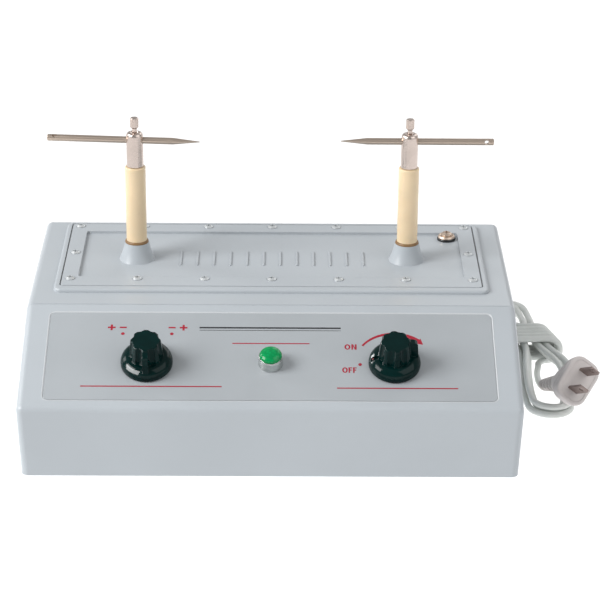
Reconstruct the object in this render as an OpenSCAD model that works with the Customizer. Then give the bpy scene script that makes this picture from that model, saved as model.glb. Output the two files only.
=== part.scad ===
// Electronic induction coil for classroom spark and discharge tube experiments.
// A moulded desk case with a sloping control panel carries two tall insulated
// electrode posts. Each post clamps a sliding pointed needle over a centimetre scale.
// Millimetres. X runs to the right, Y to the back, Z up. The origin lies on the
// table, below the middle of the case.

/* [Case] */
// Width of the case at its foot
case_w = 280; // [270:1:300]
// Depth of the case, front to back
case_d = 200; // [196:1:210]
// Height of the case walls at the back
case_h = 72; // [70:1:78]
// Height of the front wall
front_h = 42; // [38:1:46]
// Depth of the sloping panel, seen from above
slope_run = 75; // [72:1:78]
// Thickness of the moulded walls
wall = 3; // [2:0.5:3.5]
// Radius of the front and side edges
edge_r = 4; // [3:0.5:5]
// Radius of the back corners
back_r = 4; // [3:0.5:6]
// Outward lean of each side wall between its foot and its top
side_lean = 1.7; // [0:0.1:2.5]
// Outward lean of the back wall between its foot and its top
back_lean = 3; // [0:0.5:3]
// Height of the rubber feet below the case
foot_h = 1.5; // [1:0.5:3]

/* [Top cover] */
// Width of the cover
cover_w = 248; // [240:1:250]
// Thickness of the cover at its rim
cover_t = 3.5; // [3:0.5:4]
// Height of the cover above the case top
cover_rise = 2; // [1.5:0.5:3]
// Depth of the recess in the cover
recess_depth = 1.5; // [1:0.25:1.75]
// Distance between the cover screws along X
screw_pitch = 39.75; // [38:0.25:41]
// Number of ribs in the centimetre scale
tick_count = 12; // [6:2:14]
// Distance between the ribs of the scale
tick_pitch = 10; // [10:1:10]

/* [Electrodes] */
// Distance between the two electrode posts
post_span = 163; // [150:1:170]
// Diameter of the insulator tubes
tube_d = 12.3; // [11:0.1:13]
// Height of the top of the insulator tubes above the case foot
tube_top = 132; // [120:1:140]
// Diameter of the metal posts
post_d = 10; // [9:0.5:11]
// Height of the post top above the case foot
post_top = 153.4; // [150:0.2:156]
// Height of the needles above the case foot
needle_z = 148.5; // [146:0.5:150]
// Diameter of the needles
needle_d = 4; // [3.5:0.1:4.5]
// Length of a needle with its point
needle_len = 91; // [85:1:100]
// Length of the needle's point
point_len = 16; // [12:1:20]
// Turn of the left post away from square
left_post_turn = 4.2; // [0:0.1:5]

/* [Controls] */
// Distance of each knob from the middle of the panel
knob_x = 70.1; // [65:0.1:75]
// Distance of the knobs up the slope from its lower edge
knob_s = 34.6; // [33:0.1:40]
// Diameter of the knob skirts
knob_d = 29.6; // [26:0.1:32]
// Height of the knobs
knob_h = 18.6; // [16:0.1:22]
// Number of flutes around a knob
flutes = 8; // [6:1:12]
// Diameter of the pilot lamp's collar
lamp_d = 14; // [12:0.5:16]
// Diameter of the holes for the switch and control bushings
bush_hole_d = 9.4; // [9.2:0.1:10]

/* [Mains cord] */
// Diameter of the cord
cord_d = 4; // [4:0.1:4.2]
// Distance between neighbouring turns of the hank
turn_pitch = 4.8; // [4.6:0.05:5]
// Distance between the two layers of the hank
layer_pitch = 4.65; // [4.6:0.05:4.8]
// Distance between the wraps around the hank's waist
wrap_pitch = 4.75; // [4.6:0.05:5]

/* [Hidden] */
$fn = 64;

// Case levels and the slope's own frame
foot_z = foot_h;
front_y = -case_d / 2;
back_y = case_d / 2;
front_top = foot_z + front_h;
case_top = foot_z + case_h;
crease_y = front_y + slope_run;
slope_a = atan2(case_h - front_h, slope_run);
inner_w = case_w - 2 * wall;

// Base plate
base_t = 2;
base_z = foot_z + 0.5;
base_top = base_z + base_t;
base_gap = 0.3;
base_screw_xy = [for (x = [-130, 0, 130], y = [-90, 90]) [x, y]];
pillar_d = 8;
pilot_d = 2.8;

// Cover
cover_front = crease_y + 22.5;
cover_back = back_y - 7.7;
cover_mid_y = (cover_front + cover_back) / 2;
cover_depth = cover_back - cover_front;
cover_top = case_top + cover_rise;
cover_under = cover_top - cover_t;
cover_gap = 1.6;
rim_w = 4;
rim_front_w = 6.2;
rim_r = 1.6;
recess_w = 229.4;
recess_front = front_y + 111;
recess_back = front_y + 180.6;
floor_z = cover_top - recess_depth;
screw_front_y = front_y + 107.6;
screw_back_y = front_y + 188.6;
screw_side_y = front_y + 146.8;
cover_screw_xy = concat(
    [for (i = [-3:3], y = [screw_front_y, screw_back_y]) [i * screw_pitch, y]],
    [for (s = [-1, 1]) [s * 3 * screw_pitch, screw_side_y]]
);
cover_screw_d = 3;
cover_hole_d = 3.4;
ledge_z = cover_under - 4.5;

// Electrodes
post_x = post_span / 2;
post_y = front_y + 142;
boss_d = 21.5;
boss_top_d = 14.5;
boss_h = 11;
boss_top = floor_z + boss_h;
tube_foot = cover_under - 7;
tube_z = foot_z + tube_top;
stud_d = 4.2;
stud_bore_d = 4.4;
stud_foot = tube_foot - 8;
needle_h = foot_z + needle_z;
needle_bore_d = needle_d + 0.12;
needle_tip_left = -42.6;
needle_tip_right = 40.4;
eye_d = 2.8;
eye_back = 4.3;
clamp_d = 2.9;
clamp_hole_d = 3.02;
clamp_head_d = 5;
clamp_head_low = foot_z + 156;
clamp_head_h = 6.5;

// Panel
panel_w = 254;
panel_low = 7;
panel_high = 74;
panel_r = 3;
panel_drop = 1;
panel_t = 0.8;
panel_gap = 1.2;
lamp_s = 35;
lamp_hole_d = 9.4;

// Terminal
terminal_x = 107.7;
terminal_y = front_y + 174;

// Mains cord: exit and free route on the table behind the case
gland_x = 100;
gland_z = 14;
gland_len = 24;
cord_r = cord_d / 2;
lead_sides = 8;
hank_sides = 6;

// ---------------------------------------------------------------- helpers

// Places children on the sloping panel, s millimetres up from its lower edge
module on_slope(x, s) {
    translate([x, front_y + s * cos(slope_a), front_top + s * sin(slope_a)])
        rotate([slope_a, 0, 0])
            children();
}

// A flat block with rounded corners, centred in X and Y
module rounded_plate(w, d, t, r) {
    linear_extrude(height = t)
        union() {
            square([w - 2 * r, d], center = true);
            square([w, d - 2 * r], center = true);
            for (x = [-1, 1], y = [-1, 1])
                translate([x * (w / 2 - r), y * (d / 2 - r)])
                    circle(r = r);
        }
}

// A tube with a bore, standing on Z = 0
module tube(outer_d, inner_d, h) {
    difference() {
        cylinder(d = outer_d, h = h);
        translate([0, 0, -1])
            cylinder(d = inner_d, h = h + 2);
    }
}

// A hexagon nut with a round bore
module hex_nut(across, bore_d, h) {
    difference() {
        cylinder(d = across / cos(30), h = h, $fn = 6);
        translate([0, 0, -1])
            cylinder(d = bore_d, h = h + 2);
    }
}

// A pan head screw, head upwards on Z = 0, with a cross recess
module pan_screw(shank_d, shank_len, head_d, head_h) {
    slot = head_d * 0.16;
    difference() {
        union() {
            translate([0, 0, -shank_len])
                cylinder(d = shank_d, h = shank_len + 0.1);
            cylinder(d = head_d, h = head_h * 0.55);
            translate([0, 0, head_h * 0.55])
                cylinder(d1 = head_d, d2 = head_d * 0.62, h = head_h * 0.45);
        }
        for (turn = [0, 90])
            rotate([0, 0, turn])
                translate([0, 0, head_h])
                    cube([head_d * 0.6, slot, head_h * 0.9], center = true);
    }
}

function unit(v) = v / norm(v);
function smooth(t) = let (c = min(max(t, 0), 1)) c * c * (3 - 2 * c);

// Direction of a path at point i
function heading(path, i) =
    unit(path[min(i + 1, len(path) - 1)] - path[max(i - 1, 0)]);
// Sideways directions carried along the path without twist
function carried(path, start) = [
    for (i = 0, u = start;
         i < len(path);
         i = i + 1,
         u = i < len(path)
             ? let (t = heading(path, i)) unit(u - (u * t) * t)
             : u)
        u
];
// Length of a path
function path_len(path) = [for (i = [1:len(path) - 1]) norm(path[i] - path[i - 1])]
    * [for (i = [1:len(path) - 1]) 1];

// One unbroken tube along a path
module swept_tube(path, r, sides) {
    first = heading(path, 0);
    side = unit(cross(abs(first.z) < 0.9 ? [0, 0, 1] : [0, 1, 0], first));
    across = carried(path, side);
    n = len(path);
    points = [
        for (i = [0:n - 1])
            let (u = across[i], v = cross(heading(path, i), u))
                for (k = [0:sides - 1])
                    path[i] + r * (cos((k + 0.5) * 360 / sides) * u + sin((k + 0.5) * 360 / sides) * v)
    ];
    walls = [
        for (i = [0:n - 2], k = [0:sides - 1])
            let (a = i * sides + k, b = i * sides + (k + 1) % sides)
                each [[a, a + sides, b], [b, a + sides, b + sides]]
    ];
    caps = [
        for (k = [1:sides - 2])
            each [[0, k, k + 1], [(n - 1) * sides, (n - 1) * sides + k + 1, (n - 1) * sides + k]]
    ];
    polyhedron(points = points, faces = concat(walls, caps), convexity = 10);
}

// ---------------------------------------------------------------- case

// Ball that rounds the case where two or three faces meet
module edge_ball(x, y, z, r) {
    translate([x, y, z])
        sphere(r = r, $fn = 32);
}

module case_outside() {
    half = case_w / 2;
    r = edge_r;
    front_ball_z = front_top - r * (1 - sin(slope_a)) / cos(slope_a);
    crease_ball_y = front_y + ((case_h - front_h - r) * cos(slope_a) + r) / sin(slope_a);
    hull() {
        for (s = [-1, 1]) {
            translate([s * (half - r), front_y + r, foot_z])
                cylinder(r = r, h = 1, $fn = 32);
            translate([s * (half - back_r), back_y - back_r, foot_z])
                cylinder(r = back_r, h = 1, $fn = 32);
            edge_ball(s * (half + side_lean - r), front_y + r, front_ball_z, r);
            edge_ball(s * (half + side_lean - r), crease_ball_y, case_top - r, r);
            edge_ball(s * (half + side_lean - back_r), back_y + back_lean - back_r, case_top - back_r,
                      back_r);
        }
    }
}

// Hollow of the case: a straight prism that follows the side profile
module case_inside() {
    drop = wall / cos(slope_a);
    roof = case_top - wall;
    slope_start = front_top - drop + wall * tan(slope_a);
    translate([-inner_w / 2, 0, 0])
        rotate([90, 0, 90])
            linear_extrude(height = inner_w)
                polygon([
                    [front_y + wall, foot_z - 1],
                    [front_y + wall, slope_start],
                    [crease_y + wall * tan(slope_a / 2), roof],
                    [back_y - wall + back_lean * (roof - foot_z) / case_h, roof],
                    [back_y - wall, foot_z - 1]
                ]);
}

// Low rounded frame around the cover
module cover_rim() {
    rim_front = cover_front - rim_front_w;
    rim_back = cover_back + 2.7;
    outer_w = cover_w + 2 * rim_w;
    difference() {
        hull() {
            translate([0, (rim_front + rim_back) / 2, case_top - 1])
                rounded_plate(outer_w, rim_back - rim_front, 0.5, 4.5, $fn = 32);
            for (a = [0:30:90])
                translate([0, (rim_front + rim_back) / 2, cover_top - rim_r * (1 - sin(a)) - 0.1])
                    rounded_plate(outer_w - 2 * rim_r * (1 - cos(a)),
                                  rim_back - rim_front - 2 * rim_r * (1 - cos(a)),
                                  0.1, 4.5 - rim_r * (1 - cos(a)), $fn = 32);
        }
        translate([0, cover_mid_y, case_top - 2])
            rounded_plate(cover_w + cover_gap, cover_depth + cover_gap, cover_rise + 4, 2.3);
    }
}

// Ledge under the cover with the same outline as its rim
module cover_ledge() {
    ledge_w = 12;
    difference() {
        translate([0, (cover_front + back_y - wall - rim_w) / 2, ledge_z])
            rounded_plate(cover_w + 6, back_y - wall - cover_front + rim_w + 0.5,
                          case_top - 1 - ledge_z, 2);
        translate([0, cover_mid_y, ledge_z - 1])
            rounded_plate(cover_w - 2 * ledge_w, cover_depth - 2 * ledge_w, 12, 4);
    }
}

module case_shell() {
    color([0.77, 0.8, 0.82])
        difference() {
            union() {
                difference() {
                    case_outside();
                    case_inside();
                }
                cover_rim();
                cover_ledge();
                // Pillars for the base plate screws
                intersection() {
                    case_outside();
                    for (p = base_screw_xy)
                        translate([p.x, p.y, base_top + 0.1])
                            cylinder(d = pillar_d, h = case_h);
                }
            }
            // Seat of the cover and the hole that it closes
            translate([0, cover_mid_y, cover_under - 0.05])
                rounded_plate(cover_w + cover_gap, cover_depth + cover_gap, 10, 2.3);
            translate([0, cover_mid_y, ledge_z - 2])
                rounded_plate(cover_w - 24, cover_depth - 24, 20, 4);
            for (p = cover_screw_xy)
                translate([p.x, p.y, ledge_z - 1])
                    cylinder(d = cover_screw_d + 0.1, h = 10);
            for (p = base_screw_xy)
                translate([p.x, p.y, base_z])
                    cylinder(d = pilot_d, h = 14);
            // Recess for the printed panel plate, with the holes for the controls
            on_slope(0, (panel_low + panel_high) / 2)
                translate([0, 0, -panel_drop])
                    rounded_plate(panel_w + panel_gap, panel_high - panel_low + panel_gap, 5,
                                  panel_r + panel_gap / 2);
            for (s = [-1, 1])
                on_slope(s * knob_x, knob_s)
                    translate([0, 0, -10])
                        cylinder(d = bush_hole_d, h = 20);
            on_slope(0, lamp_s)
                translate([0, 0, -10])
                    cylinder(d = lamp_hole_d, h = 20);
            // Hole and flat seat for the cord gland
            translate([gland_x, back_y - wall - 2, gland_z])
                rotate([-90, 0, 0])
                    cylinder(d = 9.2, h = wall + 6);
            translate([gland_x, back_y, gland_z])
                rotate([-90, 0, 0])
                    cylinder(d = 13.6, h = 4);
            translate([gland_x, back_y - wall, gland_z])
                rotate([90, 0, 0])
                    cylinder(d = 13.6, h = 2);
            // Fine line along the crease
            translate([-case_w, crease_y, case_top - 0.05])
                rotate([0, 90, 0])
                    cylinder(r = 0.45, h = 2 * case_w, $fn = 16);
        }
}

module base_plate() {
    depth = case_d - 2 * wall - 2 * base_gap;
    color([0.62, 0.64, 0.65])
        difference() {
            translate([0, 0, base_z])
                rounded_plate(inner_w - 2 * base_gap, depth, base_t, 2);
            for (p = base_screw_xy)
                translate([p.x, p.y, base_z - 1])
                    cylinder(d = 3.6, h = base_t + 2);
            // Louvres that let the warm air through
            for (x = [-60:12:60])
                translate([x, 60, base_z + base_t / 2])
                    rounded_slot(4, 30, base_t + 2);
        }
}

// A slot with round ends along Y, centred
module rounded_slot(w, l, t) {
    translate([0, 0, -t / 2]) {
        translate([-w / 2, -(l - w) / 2, 0])
            cube([w, l - w, t]);
        for (s = [-1, 1])
            translate([0, s * (l - w) / 2, 0])
                cylinder(d = w, h = t);
    }
}

module base_screws() {
    color([0.75, 0.75, 0.76])
        for (p = base_screw_xy)
            translate([p.x, p.y, base_z])
                rotate([180, 0, 0])
                    pan_screw(2.7, 12, 6, 1.3);
}

module rubber_feet() {
    color([0.12, 0.12, 0.12])
        for (x = [-118, 118], y = [-78, 78])
            translate([x, y, 0]) {
                cylinder(d1 = 13, d2 = 14, h = 0.5);
                translate([0, 0, 0.5])
                    cylinder(d = 14, h = base_z - 0.5);
            }
}

// ---------------------------------------------------------------- cover

// Moulded cone that carries an insulator tube, with a hollow flank
module post_boss() {
    flank = 14;
    foot_r = boss_d / 2;
    top_r = boss_top_d / 2;
    rotate_extrude()
        polygon(concat(
            [[tube_d / 2 + 0.1, -recess_depth], [foot_r, -recess_depth]],
            [for (i = [0:flank])
                let (t = i / flank)
                    [foot_r - (foot_r - top_r) * (t + 0.12 * sin(180 * t)), t * boss_h]],
            [[tube_d / 2 + 0.1, boss_h]]
        ));
}

module top_cover() {
    boss_bore = tube_d + 0.2;
    color([0.77, 0.8, 0.82])
        difference() {
            union() {
                difference() {
                    translate([0, cover_mid_y, cover_under])
                        rounded_plate(cover_w, cover_depth, cover_t, 1.5);
                    translate([0, (recess_front + recess_back) / 2, floor_z])
                        rounded_plate(recess_w, recess_back - recess_front, 10, 1.5);
                }
                for (i = [0:tick_count - 1])
                    translate([(i - (tick_count - 1) / 2) * tick_pitch, front_y + 141.5, floor_z + 0.25])
                        rounded_slot(1.2, 21, 0.7);
                for (s = [-1, 1])
                    translate([s * post_x, post_y, floor_z])
                        post_boss();
            }
            for (s = [-1, 1])
                translate([s * post_x, post_y, cover_under - 1])
                    cylinder(d = boss_bore, h = boss_h + 10);
            for (p = cover_screw_xy)
                translate([p.x, p.y, cover_under - 1])
                    cylinder(d = cover_hole_d, h = cover_t + 2);
            for (p = cover_screw_xy)
                translate([p.x, p.y, cover_top - 0.6])
                    cylinder(d = 5.9, h = 2);
            translate([terminal_x, terminal_y, cover_under - 1])
                cylinder(d = 4.4, h = cover_t + 2);
        }
}

module cover_screws() {
    color([0.78, 0.78, 0.78])
        for (p = cover_screw_xy)
            translate([p.x, p.y, cover_top - 0.6])
                pan_screw(cover_screw_d, 6.5, 5.6, 1.7);
}

module panel_plate() {
    mid = (panel_low + panel_high) / 2;
    color([0.7, 0.73, 0.75])
        difference() {
            on_slope(0, mid)
                translate([0, 0, -panel_drop])
                    rounded_plate(panel_w, panel_high - panel_low, panel_t, panel_r);
            for (s = [-1, 1])
                on_slope(s * knob_x, knob_s)
                    translate([0, 0, -5])
                        cylinder(d = bush_hole_d, h = 10);
            on_slope(0, lamp_s)
                translate([0, 0, -5])
                    cylinder(d = lamp_hole_d, h = 10);
        }
}

// ---------------------------------------------------------------- electrodes

module insulator() {
    flange_h = 3.4;
    difference() {
        union() {
            translate([0, 0, tube_foot])
                cylinder(d = tube_d, h = tube_z - tube_foot - 0.5);
            translate([0, 0, tube_z - 0.5])
                cylinder(d1 = tube_d, d2 = tube_d - 1, h = 0.5);
            translate([0, 0, cover_under - flange_h - 0.05])
                cylinder(d = tube_d + 6, h = flange_h);
        }
        translate([0, 0, tube_foot - 1])
            cylinder(d = stud_bore_d, h = tube_z - tube_foot + 2);
    }
}

module insulator_left() {
    color([0.92, 0.83, 0.66])
        translate([-post_x, post_y, 0])
            insulator();
}

module insulator_right() {
    color([0.92, 0.83, 0.66])
        translate([post_x, post_y, 0])
            insulator();
}

module seal_rings() {
    color([0.45, 0.3, 0.16])
        for (s = [-1, 1])
            translate([s * post_x, post_y, boss_top])
                rotate_extrude()
                    polygon(concat(
                        [[tube_d / 2 + 0.05, 0]],
                        [for (a = [0:15:90]) [tube_d / 2 + 0.05 + 0.9 * cos(a), 1.5 * sin(a)]]
                    ));
}

// Metal post: domed top, cross bore for the needle, tapped hole for the clamp
// screw, and a stud that runs down through the insulator
module electrode_post() {
    top_z = foot_z + post_top;
    r = post_d / 2;
    dome = 2.4;
    difference() {
        union() {
            translate([0, 0, tube_z + 0.1])
                rotate_extrude()
                    polygon(concat(
                        [[0, 0], [r - 0.3, 0], [r, 0.4]],
                        [for (a = [0:10:90])
                            [r - 1.7 + 1.7 * cos(a), top_z - tube_z - 0.1 - dome + dome * sin(a)]],
                        [[0, top_z - tube_z - 0.1]]
                    ));
            translate([0, 0, stud_foot])
                cylinder(d = stud_d, h = tube_z - stud_foot + 1);
        }
        translate([0, 0, needle_h])
            rotate([0, 90, 0])
                cylinder(d = needle_bore_d, h = post_d + 2, center = true);
        translate([0, 0, needle_h])
            cylinder(d = clamp_hole_d, h = 20);
        translate([0, 0, top_z - 1.2])
            cylinder(d1 = clamp_hole_d, d2 = 6, h = 1.6);
    }
}

module post_left() {
    color([0.78, 0.74, 0.7])
        translate([-post_x, post_y, 0])
            rotate([0, 0, -left_post_turn])
                electrode_post();
}

module post_right() {
    color([0.78, 0.74, 0.7])
        translate([post_x, post_y, 0])
            electrode_post();
}

module post_nuts() {
    color([0.75, 0.7, 0.55])
        for (s = [-1, 1])
            translate([s * post_x, post_y, tube_foot - 3.3])
                hex_nut(7, stud_d + 0.1, 3.2);
}

// Needle along -X, its point at the origin
module needle() {
    difference() {
        rotate([0, -90, 0])
            rotate_extrude()
                polygon([
                    [0, 0], [0.25, 0.3], [needle_d / 2, point_len],
                    [needle_d / 2, needle_len - 0.4], [needle_d / 2 - 0.4, needle_len],
                    [0, needle_len]
                ]);
        translate([-needle_len + eye_back, 0, 0])
            cylinder(d = eye_d, h = needle_d + 2, center = true);
    }
}

module needle_left() {
    color([0.6, 0.57, 0.53])
        translate([-post_x, post_y, needle_h])
            rotate([0, 0, -left_post_turn])
                translate([post_x + needle_tip_left, 0, 0])
                    rotate([20, 0, 0])
                        needle();
}

module needle_right() {
    color([0.6, 0.57, 0.53])
        translate([needle_tip_right, post_y, needle_h])
            rotate([90, 0, 180])
                needle();
}

// Slim thumb screw with a knurled head
module clamp_screw() {
    shank_low = needle_h + needle_d / 2 + 0.25;
    knurls = 12;
    difference() {
        union() {
            translate([0, 0, shank_low])
                cylinder(d = clamp_d, h = clamp_head_low - shank_low + 0.5);
            translate([0, 0, clamp_head_low])
                cylinder(d1 = clamp_d + 0.6, d2 = clamp_head_d, h = 0.8);
            translate([0, 0, clamp_head_low + 0.8])
                cylinder(d = clamp_head_d, h = clamp_head_h - 1.3);
            translate([0, 0, clamp_head_low + clamp_head_h - 0.5])
                cylinder(d1 = clamp_head_d, d2 = clamp_head_d - 1, h = 0.5);
        }
        for (i = [0:knurls - 1])
            rotate([0, 0, i * 360 / knurls])
                translate([clamp_head_d / 2 + 0.15, 0, clamp_head_low - 0.1])
                    cylinder(d = 0.7, h = clamp_head_h + 1, $fn = 16);
    }
}

module clamp_screw_left() {
    color([0.72, 0.68, 0.64])
        translate([-post_x, post_y, 0])
            clamp_screw();
}

module clamp_screw_right() {
    color([0.72, 0.68, 0.64])
        translate([post_x, post_y, 0])
            clamp_screw();
}

// ---------------------------------------------------------------- earth terminal

module terminal_base() {
    color([0.1, 0.1, 0.1])
        translate([terminal_x, terminal_y, floor_z])
            difference() {
                union() {
                    cylinder(d = 11.4, h = 1.1);
                    translate([0, 0, 1.1])
                        cylinder(d1 = 11.4, d2 = 10.8, h = 0.5);
                }
                translate([0, 0, -1])
                    cylinder(d = 4.4, h = 6);
            }
}

module terminal_washer() {
    color([0.85, 0.7, 0.42])
        translate([terminal_x, terminal_y, floor_z + 1.6])
            difference() {
                union() {
                    cylinder(d = 10.6, h = 0.5);
                    translate([0, 0, 0.5])
                        cylinder(d1 = 10.6, d2 = 9.4, h = 0.8);
                }
                translate([0, 0, -1])
                    cylinder(d = 4.3, h = 5);
                translate([0, 0, 0.6])
                    cylinder(d1 = 4.3, d2 = 8.8, h = 0.8);
            }
}

module terminal_screw() {
    color([0.85, 0.7, 0.42])
        translate([terminal_x, terminal_y, floor_z + 2.68])
            pan_screw(4, 17, 6.8, 2.1);
}

module terminal_nut() {
    color([0.85, 0.7, 0.42])
        translate([terminal_x, terminal_y, cover_under - 3.3])
            hex_nut(7, 4.05, 3.2);
}

// ---------------------------------------------------------------- controls

// Fluted knob with a domed skirt and a fin at -Y, standing on the panel, its mark at +Y
module knob() {
    skirt_r = knob_d / 2;
    rim_h = 1.2;
    dome_h = 5.6;
    grip_r = 10.3;
    top_r = 8.5;
    lean = atan2(grip_r - top_r, knob_h - rim_h);
    flute_r = 3.4;
    flute_out = 2.1;
    difference() {
        union() {
            rotate_extrude()
                polygon(concat(
                    [[0, 0], [skirt_r - 0.2, 0], [skirt_r, 0.2], [skirt_r, rim_h]],
                    [for (a = [8:8:80])
                        [grip_r - 1 + (skirt_r - grip_r + 1) * cos(a), rim_h + dome_h * sin(a)]],
                    [[grip_r - 1, rim_h + dome_h], [0, rim_h + dome_h]]
                ));
            difference() {
                rotate_extrude()
                    polygon([
                        [0, rim_h], [grip_r, rim_h], [top_r + 0.1, knob_h - 0.9],
                        [top_r - 0.2, knob_h - 0.3], [top_r - 0.9, knob_h], [0, knob_h]
                    ]);
                for (i = [0:flutes - 1])
                    rotate([0, 0, (i + 0.5) * 360 / flutes])
                        translate([grip_r + flute_out, 0, rim_h + 1])
                            rotate([0, -lean, 0])
                                cylinder(r = flute_r, h = knob_h + 4, $fn = 48);
            }
            knob_fin(skirt_r, rim_h);
        }
        // Hollow over the fixing nut, and the bore for the shaft
        translate([0, 0, -1])
            cylinder(d = 22, h = 4.6);
        translate([0, 0, -1])
            cylinder(d = 6.02, h = 14);
        // Tapped hole for the grub screw
        translate([0, 0, 5.6])
            rotate([-90, 0, 0])
                cylinder(d = 3.02, h = knob_d);
    }
}

// Finger fin that runs from the grip down over the skirt at -Y
module knob_fin(skirt_r, foot) {
    thick = 3.2;
    translate([-thick / 2, 0, 0])
        rotate([90, 0, 90])
            linear_extrude(height = thick)
                polygon([
                    [-4, foot + 0.2], [0.6 - skirt_r, foot + 0.2], [0.6 - skirt_r, foot + 1.6],
                    [1.6 - skirt_r, foot + 4], [-12.5, knob_h - 3], [-12, knob_h - 2.1],
                    [-11, knob_h - 1.5], [-7.6, knob_h - 0.5], [-4, knob_h - 0.5]
                ]);
}

module grub_screw() {
    translate([0, 3.15, 5.6])
        rotate([-90, 0, 0])
            difference() {
                cylinder(d = 2.94, h = 6);
                translate([0, 0, 4.5])
                    cylinder(d = 1.5, h = 4, $fn = 6);
            }
}

knob_lift = 0.4;
shaft_turn_right = 97;

module knob_left() {
    color([0.06, 0.07, 0.07])
        on_slope(-knob_x, knob_s)
            translate([0, 0, knob_lift])
                knob();
}

module knob_left_screw() {
    color([0.3, 0.3, 0.3])
        on_slope(-knob_x, knob_s)
            translate([0, 0, knob_lift])
                grub_screw();
}

module knob_right() {
    color([0.06, 0.07, 0.07])
        on_slope(knob_x, knob_s)
            translate([0, 0, knob_lift])
                rotate([0, 0, shaft_turn_right])
                    knob();
}

module knob_right_screw() {
    color([0.3, 0.3, 0.3])
        on_slope(knob_x, knob_s)
            translate([0, 0, knob_lift])
                rotate([0, 0, shaft_turn_right])
                    grub_screw();
}

// Shaft from inside the control body up into the knob
shaft_low = -9.5;
shaft_high = 12;

module control_rod(x) {
    on_slope(x, knob_s)
        translate([0, 0, shaft_low])
            cylinder(d = 5.94, h = shaft_high - shaft_low);
}

module switch_shaft() {
    color([0.8, 0.8, 0.8])
        control_rod(-knob_x);
}

module control_shaft() {
    color([0.8, 0.8, 0.8])
        control_rod(knob_x);
}

// Threaded bushing and body under the panel
module bushing() {
    difference() {
        translate([0, 0, -wall - panel_t - 0.5])
            cylinder(d = 9, h = wall + panel_t + 3);
        translate([0, 0, shaft_low - 1])
            cylinder(d = 6.06, h = 20);
    }
}

module polarity_switch() {
    body_top = -wall - 0.1;
    color([0.2, 0.25, 0.45])
        on_slope(-knob_x, knob_s)
            union() {
                bushing();
                difference() {
                    translate([0, 0, body_top - 16])
                        linear_extrude(height = 16)
                            union() {
                                circle(d = 26);
                                square([30, 9], center = true);
                            }
                    translate([0, 0, shaft_low - 0.2])
                        cylinder(d = 6.06, h = 20);
                }
                for (a = [30:30:330])
                    rotate([0, 0, a])
                        translate([10, 0, body_top - 20])
                            cube([1.2, 2, 4.1]);
            }
}

module level_control() {
    body_top = -wall - 0.1;
    color([0.55, 0.56, 0.5])
        on_slope(knob_x, knob_s)
            union() {
                bushing();
                difference() {
                    translate([0, 0, body_top - 11])
                        cylinder(d = 24, h = 11);
                    translate([0, 0, shaft_low - 0.2])
                        cylinder(d = 6.06, h = 20);
                }
                translate([0, 0, body_top - 19])
                    cylinder(d = 18, h = 8.1);
                for (x = [-5, 0, 5])
                    translate([x - 0.8, -18, body_top - 4])
                        cube([1.6, 7, 0.8]);
            }
}

module bush_nut(x) {
    on_slope(x, knob_s)
        translate([0, 0, -panel_drop + panel_t + 0.05])
            hex_nut(12, 9.05, 2.1);
}

module switch_nut() {
    color([0.8, 0.8, 0.8])
        bush_nut(-knob_x);
}

module control_nut() {
    color([0.8, 0.8, 0.8])
        bush_nut(knob_x);
}

// ---------------------------------------------------------------- pilot lamp

lamp_floor = -panel_drop + panel_t;
bezel_h = 6.4;
lens_d = lamp_d - 1.4;

module lamp_bezel() {
    r = lamp_d / 2;
    color([0.82, 0.83, 0.84])
        on_slope(0, lamp_s)
            translate([0, 0, lamp_floor + 0.05])
                rotate_extrude()
                    polygon([
                        [4.75, 0], [r - 0.3, 0], [r, 0.3], [r, bezel_h - 1.2],
                        [r - 0.15, bezel_h - 0.5], [r - 0.5, bezel_h], [lens_d / 2 + 0.05, bezel_h],
                        [lens_d / 2 + 0.05, 2], [4.75, 2]
                    ]);
}

module lamp_lens() {
    r = lens_d / 2;
    seat = 2.1;
    shoulder = bezel_h + 0.5;
    crown = 2.9;
    color([0, 0.6, 0.32])
        on_slope(0, lamp_s)
            translate([0, 0, lamp_floor + 0.05])
                rotate_extrude()
                    polygon(concat(
                        [[0, seat + 2], [r - 1.5, seat + 2], [r - 1.5, seat], [r, seat]],
                        [for (a = [0:10:90]) [r * cos(a), shoulder + crown * sin(a)]]
                    ));
}

module lamp_holder() {
    color([0.15, 0.15, 0.15])
        on_slope(0, lamp_s)
            union() {
                difference() {
                    translate([0, 0, -21])
                        cylinder(d = 9.2, h = 23);
                    translate([0, 0, -3])
                        cylinder(d = 6.2, h = 12);
                }
                translate([0, 0, -3.2])
                    cylinder(d = 5, h = 4.2);
                translate([0, 0, 0.9])
                    sphere(d = 5);
                for (x = [-2, 2])
                    translate([x - 0.5, -0.4, -25])
                        cube([1, 0.8, 4.1]);
            }
}

module lamp_nut() {
    color([0.8, 0.8, 0.8])
        on_slope(0, lamp_s)
            translate([0, 0, -wall - 2.6])
                hex_nut(13, 9.3, 2.5);
}

// ---------------------------------------------------------------- electronics

board_z = base_top + 6;
board_t = 1.6;
board_top = board_z + board_t;
board_w = 116;
board_front = front_y + 16;
board_back = front_y + 104;
board_holes = [for (x = [-1, 1], y = [board_front + 5, board_back - 5]) [x * (board_w / 2 - 5), y]];

module circuit_board() {
    color([0.1, 0.36, 0.2])
        difference() {
            translate([-board_w / 2, board_front, board_z])
                cube([board_w, board_back - board_front, board_t]);
            for (p = board_holes)
                translate([p.x, p.y, board_z - 1])
                    cylinder(d = 3.2, h = board_t + 2);
        }
}

module board_pillars() {
    color([0.85, 0.85, 0.82])
        for (p = board_holes)
            translate([p.x, p.y, base_top]) {
                cylinder(d = 6, h = board_z - base_top);
                cylinder(d = 3, h = board_top - base_top + 0.1);
                translate([0, 0, board_top - base_top])
                    cylinder(d = 5, h = 1.5);
            }
}

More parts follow.
